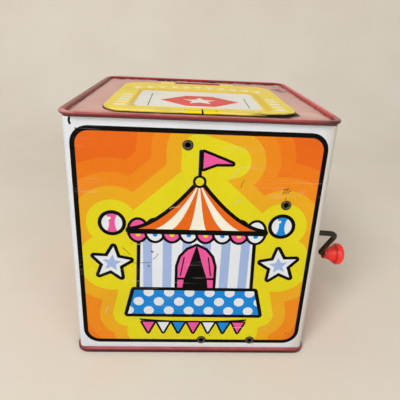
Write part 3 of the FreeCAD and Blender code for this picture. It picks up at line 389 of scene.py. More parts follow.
def rim_red(name, crest, crest_depth, seam, colour, rub_and_highlight):
    """Red enamel of a rolled rim: along the front's crest a lighter band, part worn paint and part painted
    highlight; below it painted shade darkens the bead towards the seam.
    """
    p = painted(name, colour, chips=0.03, dirt=0.4)
    _, y, z = p.axes()
    patchy = p.band(p.noise(130, 4, shift=12), 0.3, 0.7, 0.4, 0.95)
    # lighter band on the front's crest: partly worn paint, partly a painted highlight
    p.coat(rub_and_highlight, p.zone(z, crest - crest_depth, crest - 0.1), patchy, p.zone(y, -56, -66))
    # painted shade: the bead darkens from under its crest down to the seam, as its underside would in shadow
    p.coat(rgb(34, 6, 9), p.zone(z, crest - 0.4, crest - seam), 0.93)
    p.bump(p.noise(40, 2), 0.1, 0.6)
    p.bump(p.noise(700, 3), 0.08, 0.1)
    return p


def base_red(name):
    p = rim_red(name, BASE_TOP, 0.7, 1.6, rgb(156, 50, 56), rgb(184, 96, 98))
    x, _, _ = p.axes()
    patchy = p.band(p.noise(110, 4, shift=7), 0.3, 0.6, 0.4, 0.9)
    p.coat(rgb(104, 34, 38), p.zone(p.size(x), 56, 64), patchy)
    rough = p.band(p.noise(80, 4), 0.3, 0.7, 0.28, 0.48)
    return p.set(Base_Color=p.tone, Roughness=rough, Specular_IOR_Level=0.35)


def top_red(name):
    """The bead around the top and, inside it, the sunk panel."""
    p = rim_red(name, RIM_TOP, 0.5, 1.5, rgb(172, 44, 48), rgb(216, 134, 128))
    x, y, z = p.axes()
    bead_wear_and_shade(p, x, y, z)
    bead = p.tone
    panel_dust_and_shadow(p, x, y)
    ragged = p.plus(p.larger(p.size(x), p.size(y)), p.band(p.noise(220, 3), 0.3, 0.7, -0.4 * MM, 0.4 * MM))
    sunk = p.times(p.zone(ragged, WALL - 0.5, WALL - 0.9), p.zone(z, RIM_TOP - 1.3, RIM_TOP - 1.9))
    rough, shine = p.band(sunk, 0, 1, 0.3, 0.68), p.band(sunk, 0, 1, 0.4, 0.1)
    return p.set(Base_Color=p.mix(sunk, bead, p.tone), Roughness=rough, Specular_IOR_Level=shine)


def bead_wear_and_shade(p, x, y, z):
    """Marks of the top's bead: painted shade in brown on the left, painted light on the right, patchy
    painted shade on the front face, a painted highlight on the front-left corner and a dark worn front-right
    corner.
    """
    front = p.zone(y, -61, -67)
    # painted shade: the left bead darker and browner
    p.coat(rgb(112, 54, 46), p.zone(x, -62, -67, 0, 0.5))
    # painted light: the right bead brighter red
    p.coat(rgb(226, 68, 70), p.zone(x, 65.5, 67.5), p.zone(y, -58, -50), 0.9)
    # painted shade: the bead's front face darker red in patches
    p.coat(rgb(118, 30, 34), p.zone(y, -67.2, -68.4), p.band(p.noise(90, 4, shift=5), 0.3, 0.7, 0.2, 0.75))
    # painted highlight in pale pink on the top of the front-left corner
    p.coat(rgb(230, 158, 150), p.zone(x, -59, -66), front, p.zone(z, RIM_TOP - 1, RIM_TOP - 0.3), 0.75)
    p.coat(rgb(46, 26, 24), p.zone(x, 52, 64), front, p.band(p.noise(120, 5), 0.3, 0.46), 0.85)


def panel_dust_and_shadow(p, x, y):
    """The sunk panel: faded and dusty, fresh red under the lid, and a near-black painted shadow along the
    lid's edge.
    """
    p.tone = p.mix(p.band(p.noise(28, 5, shift=4), 0.3, 0.72), rgb(212, 168, 158), rgb(224, 190, 178))
    p.coat(rgb(188, 118, 114), p.band(p.noise(70, 4, stretch=(1, 3.5, 1), shift=2), 0.5, 0.7), 0.42)
    p.coat(rgb(222, 146, 138), p.zone(y, -48, -58), p.band(p.noise(60, 4, shift=3), 0.3, 0.65, 0.3, 0.9))
    back_right = p.times(p.zone(x, 40, 50), p.zone(y, 20, 34))
    smudges = p.band(p.noise(95, 5, shift=6), 0.58, 0.7)
    p.coat(rgb(84, 66, 58), smudges, p.plus(p.times(back_right, 0.6), 0.12))
    edge = past_lid(p, x, y)
    p.coat(mottled(p, rgb(178, 58, 58), 0.08, 50), p.zone(edge, -1, -1.6))
    # painted shadow along the lid's edge: how far it reaches, more at the front corners and along the front
    corner = p.times(p.zone(p.size(x), 26, 36), p.zone(y, -42, -49))
    wide = p.plus(p.times(corner, p.zone(x, -30, 30, 0.8 * MM, 2.2 * MM)), 0.6 * MM)
    wide = p.plus(wide, p.zone(y, -54.8, -55.3, 0, 1.8 * MM))
    wide = p.times(wide, p.band(p.noise(130, 4, shift=1), 0.3, 0.7, 0.55, 1.4))
    # the painted shadow itself, near-black, fading out from the lid's edge
    p.coat(rgb(34, 22, 18), p.band(p.math("DIVIDE", edge, wide), 1.0, 0.55), p.zone(edge, -2.2, -0.8), 0.9)


def past_lid(p, x, y):
    """How far a spot of the panel lies outside the lid's edge, in metres."""
    a = p.larger(p.minus(p.size(x), LID_CORE[0] * MM), 0.0)
    b = p.larger(p.minus(p.size(p.minus(y, LID_MIDDLE * MM)), LID_CORE[1] * MM), 0.0)
    return p.minus(p.math("SQRT", p.plus(p.times(a, a), p.times(b, b))), LID_CORNER * MM)


def lid_yellow(name):
    """Yellow enamel with painted shadow in dark brown along its lower edge and under the lifted front-right
    corner, the print's tick over the front, gold lacquer beneath.
    """
    p = painted(name, INKS["lid_yellow"], chips=0.02, under=(120, 92, 50), dirt=0.45)
    x, y, z = p.axes()
    off = p.size(p.minus(x, 0.4 * MM))
    front = p.zone(y, -53.7, -54.1)
    low = p.plus(z, p.band(p.noise(150, 4), 0.3, 0.7, -0.2 * MM, 0.2 * MM))
    # where painted shadow lies under the lifted front-right corner
    lifted_corner_shadow = p.zone(low, LID_TOP + 0.1, LID_TOP - 0.3)
    p.coat(INKS["bright"], front, p.zone(off, 8.8, 7.8))
    # painted shadow along the lid's lower edge
    p.coat(rgb(66, 38, 16), p.zone(low, LID_TOP - 1, LID_TOP - 1.4), 0.9)
    # painted shadow, near-black, under the lifted front-right corner
    p.coat(rgb(38, 26, 18), p.zone(x, 22, 34), p.zone(y, -40, -49), lifted_corner_shadow)
    p.coat(INKS["lid_black"], front, p.zone(off, 0.6, 0.4))
    facing = p.add("ShaderNodeTexCoord").outputs["Normal"]
    up = p.add("ShaderNodeSeparateXYZ", {"Vector": facing}).outputs["Z"]
    p.coat(mottled(p, rgb(190, 166, 96), 0.1, 60, 2), p.band(up, -0.6, -0.9))
    return tin_finish(p, 0.45, 0.1)


FINISHES = {
    "litho_tin": enamel("white_tin", rgb(220, 224, 229), 0.25, dirt=0.2),
    "rim_paint": base_red("rim_red"),
    "top_paint": top_red("top_red"),
    "lid_paint": lid_yellow("lid_yellow"),
    "bare_steel": steel("zinc_sheet", rgb(178, 178, 182), 0.34, stain=0.2),
    "rivet_steel": steel("dark_rivet", rgb(92, 89, 84), 0.28, stain=0.4),
    "black_wire": enamel("black_wire", rgb(32, 28, 25), 0.4, 0.3, chips=0.04, under=(84, 76, 68)),
    "knob_plastic": plastic("red_plastic", rgb(252, 50, 40), 0.28, shade_coats=knob_crease_shade),
    "gear_plastic": plastic("nylon", rgb(228, 224, 210), 0.42),
    "drum_plastic": plastic("blue_plastic", rgb(58, 70, 124), 0.36),
    "comb_steel": steel("comb_steel", rgb(188, 188, 194), 0.24, (1, 1, 12), 0.12),
    "cast_block": steel("cast_zinc", rgb(134, 134, 138), 0.5, stain=0.3),
    "spring_steel": steel("spring_wire", rgb(150, 150, 154), 0.3, stain=0.25),
    "garment_cloth": cloth("harlequin_cloth", rgb(198, 44, 58), diamonds=rgb(236, 198, 84)),
    "ruff_cloth": cloth("white_lawn", rgb(240, 236, 226), 0.4),
    "sleeve_cloth": cloth("blue_cloth", rgb(38, 88, 168)),
    "hand_plastic": plastic("hand_vinyl", rgb(240, 205, 182), 0.42, 0.03, 0.12),
    "head_plastic": plastic("head_vinyl", rgb(242, 210, 187), 0.4, 0.03, 0.12),
    "nose_plastic": plastic("nose_plastic", rgb(210, 45, 45), 0.24),
    "cap_felt": felt("cap_felt", rgb(38, 88, 168)),
    "brim_felt": felt("brim_felt", rgb(240, 205, 72)),
    "pompom_wool": felt("pompom_wool", rgb(240, 236, 225)),
    "hair_wool": felt("hair_wool", rgb(232, 152, 56)),
}

for part in frame["record"]["subparts"]:
    mesh = NODES[part["node"]].data
    mesh.materials.clear()
    mesh.materials.append(FINISHES[part["material_slot"]])


# Flat artwork: closed loops in millimetres, painted in order, cut into one flat map of faces.

def wound_left(loop):
    area = sum(a[0] * b[1] - b[0] * a[1] for a, b in zip(loop, loop[1:] + loop[:1]))
    return list(loop) if area > 0 else list(reversed(loop))


def polar(x, z, r, angle):
    return (x + r * cos(angle), z + r * sin(angle))


def oval(x, z, rx, rz=None, turn=0.0, count=40):
    rz = rx if rz is None else rz
    spots = [(rx * cos(TURN * k / count), rz * sin(TURN * k / count)) for k in range(count)]
    return [(x + a * cos(turn) - b * sin(turn), z + a * sin(turn) + b * cos(turn)) for a, b in spots]


def star(x, z, wide, narrow, points=5, turn=pi / 2):
    sizes = (wide, narrow) * points
    return [polar(x, z, r, turn + pi * k / points) for k, r in enumerate(sizes)]


def rounded_box(x0, x1, z0, z1, r, steps=7):
    corners = ((x1 - r, z0 + r, -90), (x1 - r, z1 - r, 0), (x0 + r, z1 - r, 90), (x0 + r, z0 + r, 180))
    return [polar(x, z, r, radians(first + 90 * k / steps))
            for x, z, first in corners for k in range(steps + 1)]


def hanging_arc(x, z, rx, rz, count=16):
    """The lower half of an oval, from left to right."""
    angles = [pi * (1 + k / count) for k in range(count + 1)]
    return [(x + rx * cos(a), z + rz * sin(a)) for a in angles]


def grow(loop, by):
    """The loop moved outwards, with round corners."""
    loop = [Vector(spot) for spot in wound_left(loop)]
    spots = []
    for before, here, after in zip(loop[-1:] + loop[:-1], loop, loop[1:] + loop[:1]):
        a, b = (here - before).normalized(), (after - here).normalized()
        out_a, out_b = Vector((a.y, -a.x)), Vector((b.y, -b.x))
        bend = atan2(a.x * b.y - a.y * b.x, a.dot(b))
        if bend > 0.02:
            steps = max(1, ceil(bend / 0.25))
            first = atan2(out_a.y, out_a.x)
            for j in range(steps + 1):
                angle = first + bend * j / steps
                spots.append(tuple(here + by * Vector((cos(angle), sin(angle)))))
        else:
            middle = (out_a + out_b).normalized()
            spots.append(tuple(here + middle * (by / max(0.3, middle.dot(out_a)))))
    return spots


class Art:
    """Shapes in the order of printing, each kept inside an earlier one, the panel if none is named.

    The ink None cuts a hole, and nothing is printed outside the base.
    """

    def __init__(self):
        self.shapes, self.rules = [], []
        self.base = self.panel = None

    def paint(self, ink_name, loop, inside=None):
        self.shapes.append((ink_name, wound_left(loop), self.panel if inside is None else inside))
        return len(self.shapes) - 1

    def outlined(self, ink_name, loop, line=2.0, inside=None):
        self.paint("black", grow(loop, line), inside)
        return self.paint(ink_name, loop, inside)

    def line(self, ink_name, spots, half, inside=None):
        spots = [Vector(spot) for spot in spots]
        for a, b in zip(spots, spots[1:]):
            way = (b - a).normalized() * half
            side = Vector((-way.y, way.x))
            loop = [a - side, b - side, b + way * 0.8, b + side, a + side, a - way * 0.8]
            self.paint(ink_name, [tuple(v) for v in loop], inside)

    def stars(self, *spots):
        for x, z, r in spots:
            self.outlined("white", star(x, z, r, r * 0.45), 1.7)

    def scratch(self, x, z, length, angle, half=0.14, ink_name="rust"):
        spots = []
        for k in range(6):
            t = length * (k / 5 - 0.5)
            off = random.uniform(-0.35, 0.35)
            spots.append((x + t * cos(angle) - off * sin(angle), z + t * sin(angle) + off * cos(angle)))
        self.line(ink_name, spots, half)

    def scratches(self, *marks, **look):
        for mark in marks:
            self.scratch(*mark, **look)

    def flecks(self, *marks):
        for x, z, size in marks:
            turn = random.uniform(0, TURN)
            loop = [polar(x, z, size * random.uniform(0.5, 1.2), turn + TURN * k / 7) for k in range(7)]
            self.paint("rust", loop)

    def build(self, name, place, body, slot, crisp=False):
        """place gives a flat spot's point and its outward direction, which crisp faces ignore."""
        spots, loops, lines = [], [], []
        for _, loop, _ in self.shapes:
            loops.append(list(range(len(spots), len(spots) + len(loop))))
            spots += [Vector(p) for p in loop]
        for a, b in self.rules:
            lines.append((len(spots), len(spots) + 1))
            spots += [Vector(a), Vector(b)]
        flat, _, faces, _, _, origins = geometry.delaunay_2d_cdt(spots, lines, loops, 1, 1e-4)
        inks, kept = [], []
        for face, held in zip(faces, origins):
            shown = [k for k in held if self.shapes[k][2] in (None, *held)]
            top = self.shapes[max(shown)][0] if shown else None
            if top and self.base in (None, *held):
                kept.append(face)
                inks.append(top)
        used = sorted({k for face in kept for k in face})
        number = {k: j for j, k in enumerate(used)}
        points, ways = zip(*(place(*flat[k]) for k in used))
        mesh = bpy.data.meshes.new(name)
        mesh.from_pydata([p * MM for p in points], [], [[number[k] for k in face] for face in kept])
        names = sorted(set(inks))
        for ink_name in names:
            mesh.materials.append(ink(ink_name))
        for polygon, ink_name in zip(mesh.polygons, inks):
            polygon.material_index = names.index(ink_name)
            polygon.use_smooth = not crisp
        if not crisp:
            mesh.normals_split_custom_set_from_vertices(ways)
        piece = new_piece(name, mesh)
        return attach(piece, body)


HALF = WALL - CORNER  # flat part of a wall
EDGE = HALF + CORNER * pi / 4  # and on to the middle of its rounded corner
PRINT_LOW, PRINT_HIGH = 3.0, 141.6
FRAME = (-63.8, 63.5, 6.6, 137.8, 9.2)  # left, right, foot, head and corner radius
PANEL = (-61.3, 61.1, 9.0, 135.3, 6.8)
BANDS = ((31, "orange"), (23.5, "light"), (16, "amber"), (8.5, "yellow"))


def on_wall(side):
    """Puts a spot (along, up) on a wall, 0 front, 1 right, 2 back, 3 left, and round its corners."""
    turn = Matrix.Rotation(side * pi / 2, 3, "Z")

    def place(s, z):
        angle = copysign(max(0, abs(s) - HALF) / CORNER, s)
        way = Vector((sin(angle), -cos(angle), 0))
        point = Vector((max(-HALF, min(HALF, s)), -HALF, z)) + way * (CORNER + SKIN)
        return turn @ point, turn @ way
    return place


def wall_art(*forms):
    """White margin, black frame and a panel with colour bands that spread from the given forms."""
    art = Art()
    margin = [(-EDGE, PRINT_LOW), (EDGE, PRINT_LOW), (EDGE, PRINT_HIGH), (-EDGE, PRINT_HIGH)]
    art.base = art.paint("white", margin)
    for k in range(6):
        for sign in (-1, 1):
            s = sign * (HALF + (EDGE - HALF) * k / 5)
            art.rules.append(((s, PRINT_LOW - 1), (s, PRINT_HIGH + 1.4)))
    art.paint("black", rounded_box(*FRAME))
    art.panel = art.paint("deep", rounded_box(*PANEL))
    for by, name in BANDS:
        for form in forms:
            art.paint(name, grow(form, by))
    return art


def polka(art, inside, x0, x1, z0, z1, step, r):
    row, z = 0, z0
    while z <= z1:
        x = x0 + (step / 2 if row % 2 else 0)
        while x <= x1:
            art.paint("white", oval(x, z, r, count=24), inside)
            x += step
        row += 1
        z += step * 0.55


def ball(art, x, z, r, colour):
    whole = art.outlined(colour, oval(x, z, r))
    for side in (0.9, -0.9):
        art.paint("white", oval(x + r * side, z, r * 0.62, r * 1.1), whole)
    art.paint("cream", oval(x - r * 0.3, z + r * 0.5, r * 0.22, r * 0.14, 0.5, 16), whole)


EAVES, ROOF_RISE, ROOF_HALF = 82, 28, 36  # the tent's roof
STAGE, STAGE_FOOT = 44, 27.5  # the stage that it stands on


def roof_line(half):
    """From the tent's top down a seam of its roof to the eaves."""
    steps = [k / 14 for k in range(15)]
    return [(half * t, EAVES + ROOF_RISE * (1 - t) ** 1.7) for t in steps]


def tent(art):
    wall = art.outlined("white", [(-30, 84), (-31, 45), (31, 45), (30, 84)])
    for k in range(6):
        x = -26.5 + 10.6 * k
        art.paint("pale_blue", [(x - 2.4, 85), (x - 2.5, STAGE), (x + 2.5, STAGE), (x + 2.4, 85)], wall)
    jamb = [(10, STAGE), (10, 60), (8.4, 66), (4.8, 70.5)]
    door = [(-10, STAGE)] + jamb + [(0, 73)] + [(-x, z) for x, z in reversed(jamb[1:])]
    gate = art.outlined("black", door, 1.6, wall)
    for sign in (-1, 1):
        drape = ((0, 74), (10.5, 74), (10.5, STAGE), (7.4, STAGE), (6.4, 52), (3.6, 61))
        art.paint("pink", [(x * sign, z) for x, z in drape], gate)
        art.line("black", [(6.4 * sign, 52), (10 * sign, 52)], 0.7, gate)
        art.line("black", [(8.4 * sign, 54), (6.6 * sign, 66)], 0.35, gate)
    stage = [(-34, STAGE), (-38, STAGE_FOOT), (38, STAGE_FOOT), (34, STAGE)]
    polka(art, art.outlined("blue", stage, 2.1), -37.5, 40, 30, 45, 11.5, 2.9)
    for k in range(8):
        x = -31.5 + 9 * k
        cup = art.outlined(("pink", "white")[k % 2], oval(x, EAVES, 4.5, 6.2), 1.5)
        art.paint("blue" if k % 2 else "yellow", oval(x, 79.6, 1.3, count=16), cup)
    side = roof_line(ROOF_HALF)
    art.outlined("cream", [(-x, z) for x, z in reversed(side[1:])] + side, 2.1)
    for k in range(0, 7, 2):
        left, right = (roof_line(ROOF_HALF * (2 * j / 7 - 1)) for j in (k, k + 1))
        art.paint("deep", left + list(reversed(right[1:])))
    art.line("black", [(-ROOF_HALF, EAVES), (ROOF_HALF, EAVES)], 0.9)
    art.outlined("yellow", oval(0, 110.5, 2.2, count=24), 1.3)


def bunting(art):
    cord = [(-31 + 62 * k / 12, 23.6 - 1.6 * (1 - (k / 6 - 1) ** 2)) for k in range(13)]
    art.line("black", cord, 0.55)
    for k in range(7):
        x = -26.4 + 8.8 * k
        flag = [(x - 3.4, 21.6), (x + 3.4, 21.6), (x, 14.2)]
        art.outlined(("pink", "white", "blue")[k % 3], flag, 1.2)


def front_wall():
    art = wall_art([(0, 113), (-34, EAVES), (34, EAVES)], [(-1, 127), (-1, 116), (17, 121.5)],
                   [(-31, 84), (-31, STAGE), (31, STAGE), (31, 84)],
                   [(-34, 45), (-38, 27), (38, 27), (34, 45)], [(-30, 24), (-30, 14), (30, 14), (30, 24)],
                   oval(-46, 62, 9.5), oval(46, 62, 9.5), oval(-45, 86, 5), oval(45, 86, 5))
    art.line("black", [(0, 108), (0, 127)], 0.9)
    art.outlined("pink", [(1.5, 126.2), (1.5, 117.6), (8, 120.4), (16, 120.6), (11, 122.6)], 1.5)
    for sign, colour in ((-1, "pink"), (1, "blue")):
        lean = pi / 2 + 0.12 * sign
        art.outlined("white", star(46 * sign, 61.5, 10.4, 4.7, turn=lean), 1.9)
        art.paint("pale_blue", star(46 * sign, 61.5, 5.4, 2.4, turn=lean))
        ball(art, 45 * sign, 86, 5.4, colour)
    tent(art)
    bunting(art)
    art.panel = None
    for mark in ((-28, 73.5, 9, 0.1), (-31, 62, 12, 0.05), (-22, 66, 5, 0.9), (-38, 69, 6, 2.3),
                 (18, 116, 9, 1.0), (22, 110, 5, 1.1), (20, 100, 4, 0.6), (-12, 96, 6, 0.3),
                 (27, 18, 7, 0.02), (-50, 30, 6, 1.2)):
        art.scratch(*mark, ink_name=random.choice(("rust", "scrape", "black")))
    art.scratches((43.8, 106.1, 2.8, 1.0), (45.3, 106.7, 3.6, 1.2), (46.6, 106.3, 2.4, 0.7),
                  (44.5, 107.6, 2.0, 0.2), half=0.2, ink_name="stain")
    art.flecks((45.2, 102.2, 0.5), (-26, 60, 0.7), (-24, 69, 0.8), (-60.4, 136, 0.5), (-29, 77, 0.5),
               (-35, 74, 0.4), (10, 12, 0.5), (56, 14, 0.5))
    art.line("black", [(-62.9, 141.4), (-63.2, 139.6), (-62.8, 138.2)], 0.55)
    for x, z in RIVETS:
        # painted shadow: a black ring, set a little low, just past each rivet's head
        art.paint("black", oval(x + 0.05, z - 0.15, 2.74, 2.76, count=24))
        art.paint(None, oval(x, z, 2.0, count=24))
    art.build("front_print", on_wall(0), "box", "litho_tin")


def right_wall():
    x0, x1, foot, head = -26, 34, 46, 92  # the drum
    middle, half = (x0 + x1) / 2, (x1 - x0) / 2
    art = wall_art(oval(middle, head, half, 9), [(x0, head), (x0, foot), (x1, foot), (x1, head)],
                   oval(middle, 44, half, 8), oval(-40, 106, 4), oval(46, 112, 5))
    for a, b in (((-14, 94), (-39, 106)), ((22, 95), (45, 112))):
        art.line("black", [a, b], 2.6)
        art.line("amber", [a, b], 1.1)
        art.outlined("pink", oval(*b, 4.2), 1.8)
    side = art.outlined("blue", hanging_arc(middle, foot, half, 8) + [(x1, head), (x0, head)], 2.1)
    for k in range(6):
        x, low = x0 + 10 * k, 48 - 6 * sin(pi * (k + 0.5) / 6)
        art.line("white", [(x, 86), (x + 5, low), (x + 10, 86)], 1.0, side)
    for level in (48, 88):
        hoop = hanging_arc(middle, level, half, 8)
        art.line("black", hoop, 4.2, side)
        art.line("pink", hoop, 2.7, side)
    art.outlined("white", oval(middle, head, half, 8.5), 2.1)
    art.paint("pale_blue", oval(middle, head - 1, 25, 6))
    art.stars((-42, 34, 8), (46, 36, 7), (48, 72, 6))
    art.panel = None
    art.scratches((-30, 60, 8, 0.4), (30, 30, 10, 1.2), (40, 120, 6, 0.2), (-52, 96, 5, 1.4))
    art.flecks((-47, 64, 1.0), (-45, 62.6, 0.6))
    art.paint(None, oval(CRANK_Y, CRANK_Z, 3.2, count=24))
    art.build("right_print", on_wall(1), "box", "litho_tin")


def cloud(art, x, z, size):
    puffs = [oval(x + size * a, z + size * b, size * r, count=28)
             for a, b, r in ((-6, -0.5, 4), (0, 2, 5.4), (6, -0.5, 4))]
    for puff in puffs:
        art.paint("black", grow(puff, 1.7))
    for puff in puffs:
        art.paint("white", puff)


def back_wall():
    middle, r, taper = 90, 31, 84  # the balloon, which tapers below this height
    art = wall_art(oval(0, middle, r), [(-14, 66), (-7, 38), (7, 38), (14, 66)],
                   [(-9, 40), (-9, 24), (9, 24), (9, 40)], oval(-44, 46, 9, 6), oval(44, 58, 9, 6))
    for x in (-7, -2.4, 2.4, 7):
        art.line("black", [(x * 2.2, 68), (x, 38)], 0.6)
    basket = art.outlined("light", rounded_box(-8.5, 8.5, 24, 38, 2.5))
    for k in range(5):
        art.line("black", [(-8, 26.5 + 2.6 * k), (8, 26.5 + 2.6 * k)], 0.3, basket)
    art.paint("pink", rounded_box(-9, 9, 35.4, 38.4, 1), basket)
    envelope = [(x * (1 if z > taper else max(0.3, 1 - ((taper - z) / 26) ** 2 * 0.55)), z)
                for x, z in oval(0, middle, r, count=64)]
    whole = art.outlined("white", envelope, 2.2)
    rows = [k / 12 for k in range(13)]
    for x, wide, name in ((0, 5.2, "blue"), (-17.5, 4.6, "deep"), (17.5, 4.6, "deep"), (-28.5, 3.2, "pink"),
                          (28.5, 3.2, "pink")):
        left, right = ([(edge * sin(pi * (0.08 + 0.86 * t)), 58 + 64 * t) for t in rows]
                       for edge in (x - wide, x + wide))
        art.paint(name, left + list(reversed(right)), whole)
    belt = art.paint("blue", [(-40, 84), (40, 84), (40, 95), (-40, 95)], whole)
    polka(art, belt, -27, 27, 86.6, 94, 9, 2.2)
    for z in (84, 95):
        art.line("black", [(-r, z), (r, z)], 0.7, whole)
    cloud(art, -44, 45, 1.0)
    cloud(art, 44, 57, 0.9)
    art.panel = None
    art.scratches((-40, 110, 9, 0.7), (36, 30, 8, 1.3), (20, 70, 7, 0.2), (-20, 100, 6, 1.0), half=0.15)
    art.build("back_print", on_wall(2), "box", "litho_tin")


def left_wall():
    art = wall_art(oval(0, 92, 24), [(-20, 62), (-34, 28), (34, 28), (20, 62)], oval(-42, 88, 5),
                   oval(42, 88, 5), oval(-34, 116, 4), oval(34, 116, 4))
    art.stars((-42, 88, 6), (42, 88, 6), (-34, 115, 5), (34, 115, 5))
    stand = art.outlined("blue", [(-19, 60), (-33, 30), (33, 30), (19, 60)], 2.1)
    polka(art, stand, -34, 36, 35, 58, 11, 2.7)
    art.outlined("pink", rounded_box(-22, 22, 59, 66, 2.5))
    art.outlined("pink", rounded_box(-36, 36, 24, 31, 2.5))
    whole = art.outlined("white", oval(0, 91, 23.5, count=56), 2.2)
    cap, wide, far = (-4, 98), 1.05, 40  # where the ball's wedges meet, their angle and their reach
    for k, name in enumerate(("deep", "pale_blue", "pink")):
        first = 0.35 + TURN * k / 3
        art.paint(name, [cap] + [polar(*cap, far, first + wide * j / 8) for j in range(9)], whole)
        for angle in (first, first + wide):
            art.line("black", [cap, polar(*cap, far, angle)], 0.7, whole)
    art.outlined("yellow", oval(*cap, 4, 3.4), 1.2, whole)
    art.panel = None
    art.scratches((-46, 60, 9, 0.5), (44, 50, 8, 1.2), (10, 120, 7, 0.2), (-12, 45, 6, 1.0), half=0.15)
    art.build("left_print", on_wall(3), "box", "litho_tin")


def on_lid(x, y):
    """The lid's top with its sunk field and the slope around it."""
    across, along = abs(x) - FIELD_CORE[0], abs(y - FIELD_MIDDLE) - FIELD_CORE[1]
    out = hypot(max(across, 0), max(along, 0)) + min(max(across, along), 0) - FIELD_CORNER
    rise = FIELD_SINK * min(1, max(0, out / FIELD_SLOPE))
    return Vector((x, y, LID_TOP - FIELD_SINK + SKIN + rise)), Vector((0, 0, 1))


def lid_print():
    art = Art()
    art.base = art.paint("lid_yellow", rounded_box(-50.4, 50.4, -54.1, 42.4, 12.9))
    # painted shade: a deeper yellow on the slope around the sunk field
    art.paint("lid_ochre", rounded_box(-38.5, 38.5, -50, 14.5, 7.5))
    art.paint("lid_yellow", rounded_box(-35, 35, -46.5, 11, 4))
    art.paint("lid_white", rounded_box(-36.3, 33.8, -42.3, 11, 4))
    for k in range(11):
        x = -40 + 8 * k
        y = 20.4 - 9 * (x / 40) ** 2
        art.paint("lid_cream", [(x - 3.1, y + 8.6), (x, y), (x + 3.1, y + 8.6)])
    for x0, x1 in ((-39.8, -45.8), (39.8, 45.8)):
        for y in range(-46, -6, 8):
            art.paint("lid_cream", [(x0, y), (x1, y), (x1, y + 3.7), (x0, y + 3.7)])
    art.line("lid_black", [(-28.5, -41), (-29, -1)], 0.22)
    art.line("lid_black", [(26.9, -38.5), (27.4, -8)], 0.22)
    art.paint("lid_red", [(-23, -21.5), (-8, -38), (8, -38), (23, -21.5), (8, -5), (-8, -5)])
    art.paint("lid_white", star(0, -21.5, 10.4, 4.6))
    patch = [(-8.4, -51.4), (-5, -48.8), (0, -48.2), (6.4, -48.7), (9.4, -50.6), (6.4, -53.6), (-6, -53.9)]
    art.paint("bright", patch)
    art.line("lid_black", [(0.4, -54), (0.3, -48.4)], 0.4)
    art.flecks((-8.6, -52.8, 0.8), (-6.4, -53.4, 0.6), (7.6, -53, 0.8), (5.2, -53.5, 0.4), (30, -52, 0.6),
               (-33, 36, 0.5), (41, 30, 0.9), (44, 22, 0.5))
    art.scratches((-20, -51.5, 8, 0.1), (24, -52, 6, 0.05), (36, 36, 7, 2.4), (-30, 38, 6, 0.2),
                  (-29, -30, 6, 0.4), (14, -43, 5, 2.6), (24, 2, 5, 0.2))
    art.paint(None, [(-16.6, 41.2), (16.6, 41.2), (16.6, 45), (-16.6, 45)])
    art.build("lid_print", on_lid, "lid", "lid_paint", crisp=True)


front_wall()
right_wall()
back_wall()
left_wall()
lid_print()


# The figure.

def new_mesh(name, spots, faces, material):
    """A smooth mesh from points in millimetres."""
    mesh = bpy.data.meshes.new(name)
    mesh.from_pydata([p * MM for p in spots], [], faces)
    mesh.shade_smooth()
    mesh.materials.append(material)
    return mesh


def grid_piece(name, rows, around, point, flat, material, thick=0.0, level=1):
    """A tube of cloth: point gives a spot by height and turn, flat is the cut cloth's size in metres."""
    spots = [point(r / (rows - 1), a / around) for r in range(rows) for a in range(around)]
    faces, cuts = [], []
    for r in range(rows - 1):
        for a in range(around):
            corners = ((r, a), (r, a + 1), (r + 1, a + 1), (r + 1, a))
            faces.append([v * around + u % around for v, u in corners])
            cuts += [(u / around * flat[0], v / (rows - 1) * flat[1]) for v, u in corners]
    mesh = new_mesh(name, spots, faces, material)
    for corner, cut in zip(mesh.uv_layers.new(name="cloth").data, cuts):
        corner.uv = cut
    piece = new_piece(name, mesh)
    if thick:
        shell = piece.modifiers.new("thickness", "SOLIDIFY")
        shell.thickness = thick * MM
        shell.offset = 0
    if level:
        soft = piece.modifiers.new("smooth", "SUBSURF")
        soft.levels = soft.render_levels = level
    return piece


def tube_piece(name, tubes, material):
    """Tubes with closed ends, each of rings of points that are wound to the left about their way."""
    spots, faces = [], []
    for rings in tubes:
        start, count = len(spots), len(rings[0])
        for row in range(start, start + count * (len(rings) - 1), count):
            for j in range(count):
                n = (j + 1) % count
                faces.append((row + j, row + n, row + count + n, row + count + j))
        for ring in rings:
            spots += ring
        faces.append(range(len(spots) - count, len(spots)))
        faces.append(range(start + count - 1, start - 1, -1))
    return new_piece(name, new_mesh(name, spots, faces, material))


def settle(piece):
    """Applies a piece's modifiers to its mesh."""
    shown = piece.evaluated_get(bpy.context.evaluated_depsgraph_get())
    piece.data = bpy.data.meshes.new_from_object(shown)
    piece.modifiers.clear()
    return piece


def ripple(angle, wide, height):
    """Smooth noise around a ring."""
    return noise.noise(Vector((wide * cos(angle), wide * sin(angle), height)))


def about(angle, r, z):
    """A spot at this angle, distance and height about the figure's axis."""
    return AXIS + Vector((r * cos(angle), r * sin(angle), z))


def make_garment():
    low, high = heights("garment")
    pleats, middle, depth, ends = 12, 24.8, 3.4, 23.6
    girth = 0.154

    def point(v, u):
        angle = TURN * u
        drift = 1.1 * ripple(angle, 1.3, 4 * v)
        r = middle - depth * cos(TURN * pleats * v + drift)
        r += 0.35 * sin(20 * angle + 5 * v) * sin(pi * v)
        tuck = max(0, min(1, v / 0.03, (1 - v) / 0.03))
        return about(angle, ends + (r - ends) * tuck, low + 0.2 + (high - low - 0.4) * v)

    size = (girth, 0.17)
    piece = grid_piece("garment_cloth", 10 * pleats + 1, 96, point, size, FINISHES["garment_cloth"], level=0)
    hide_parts("garment")
    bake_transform(piece)


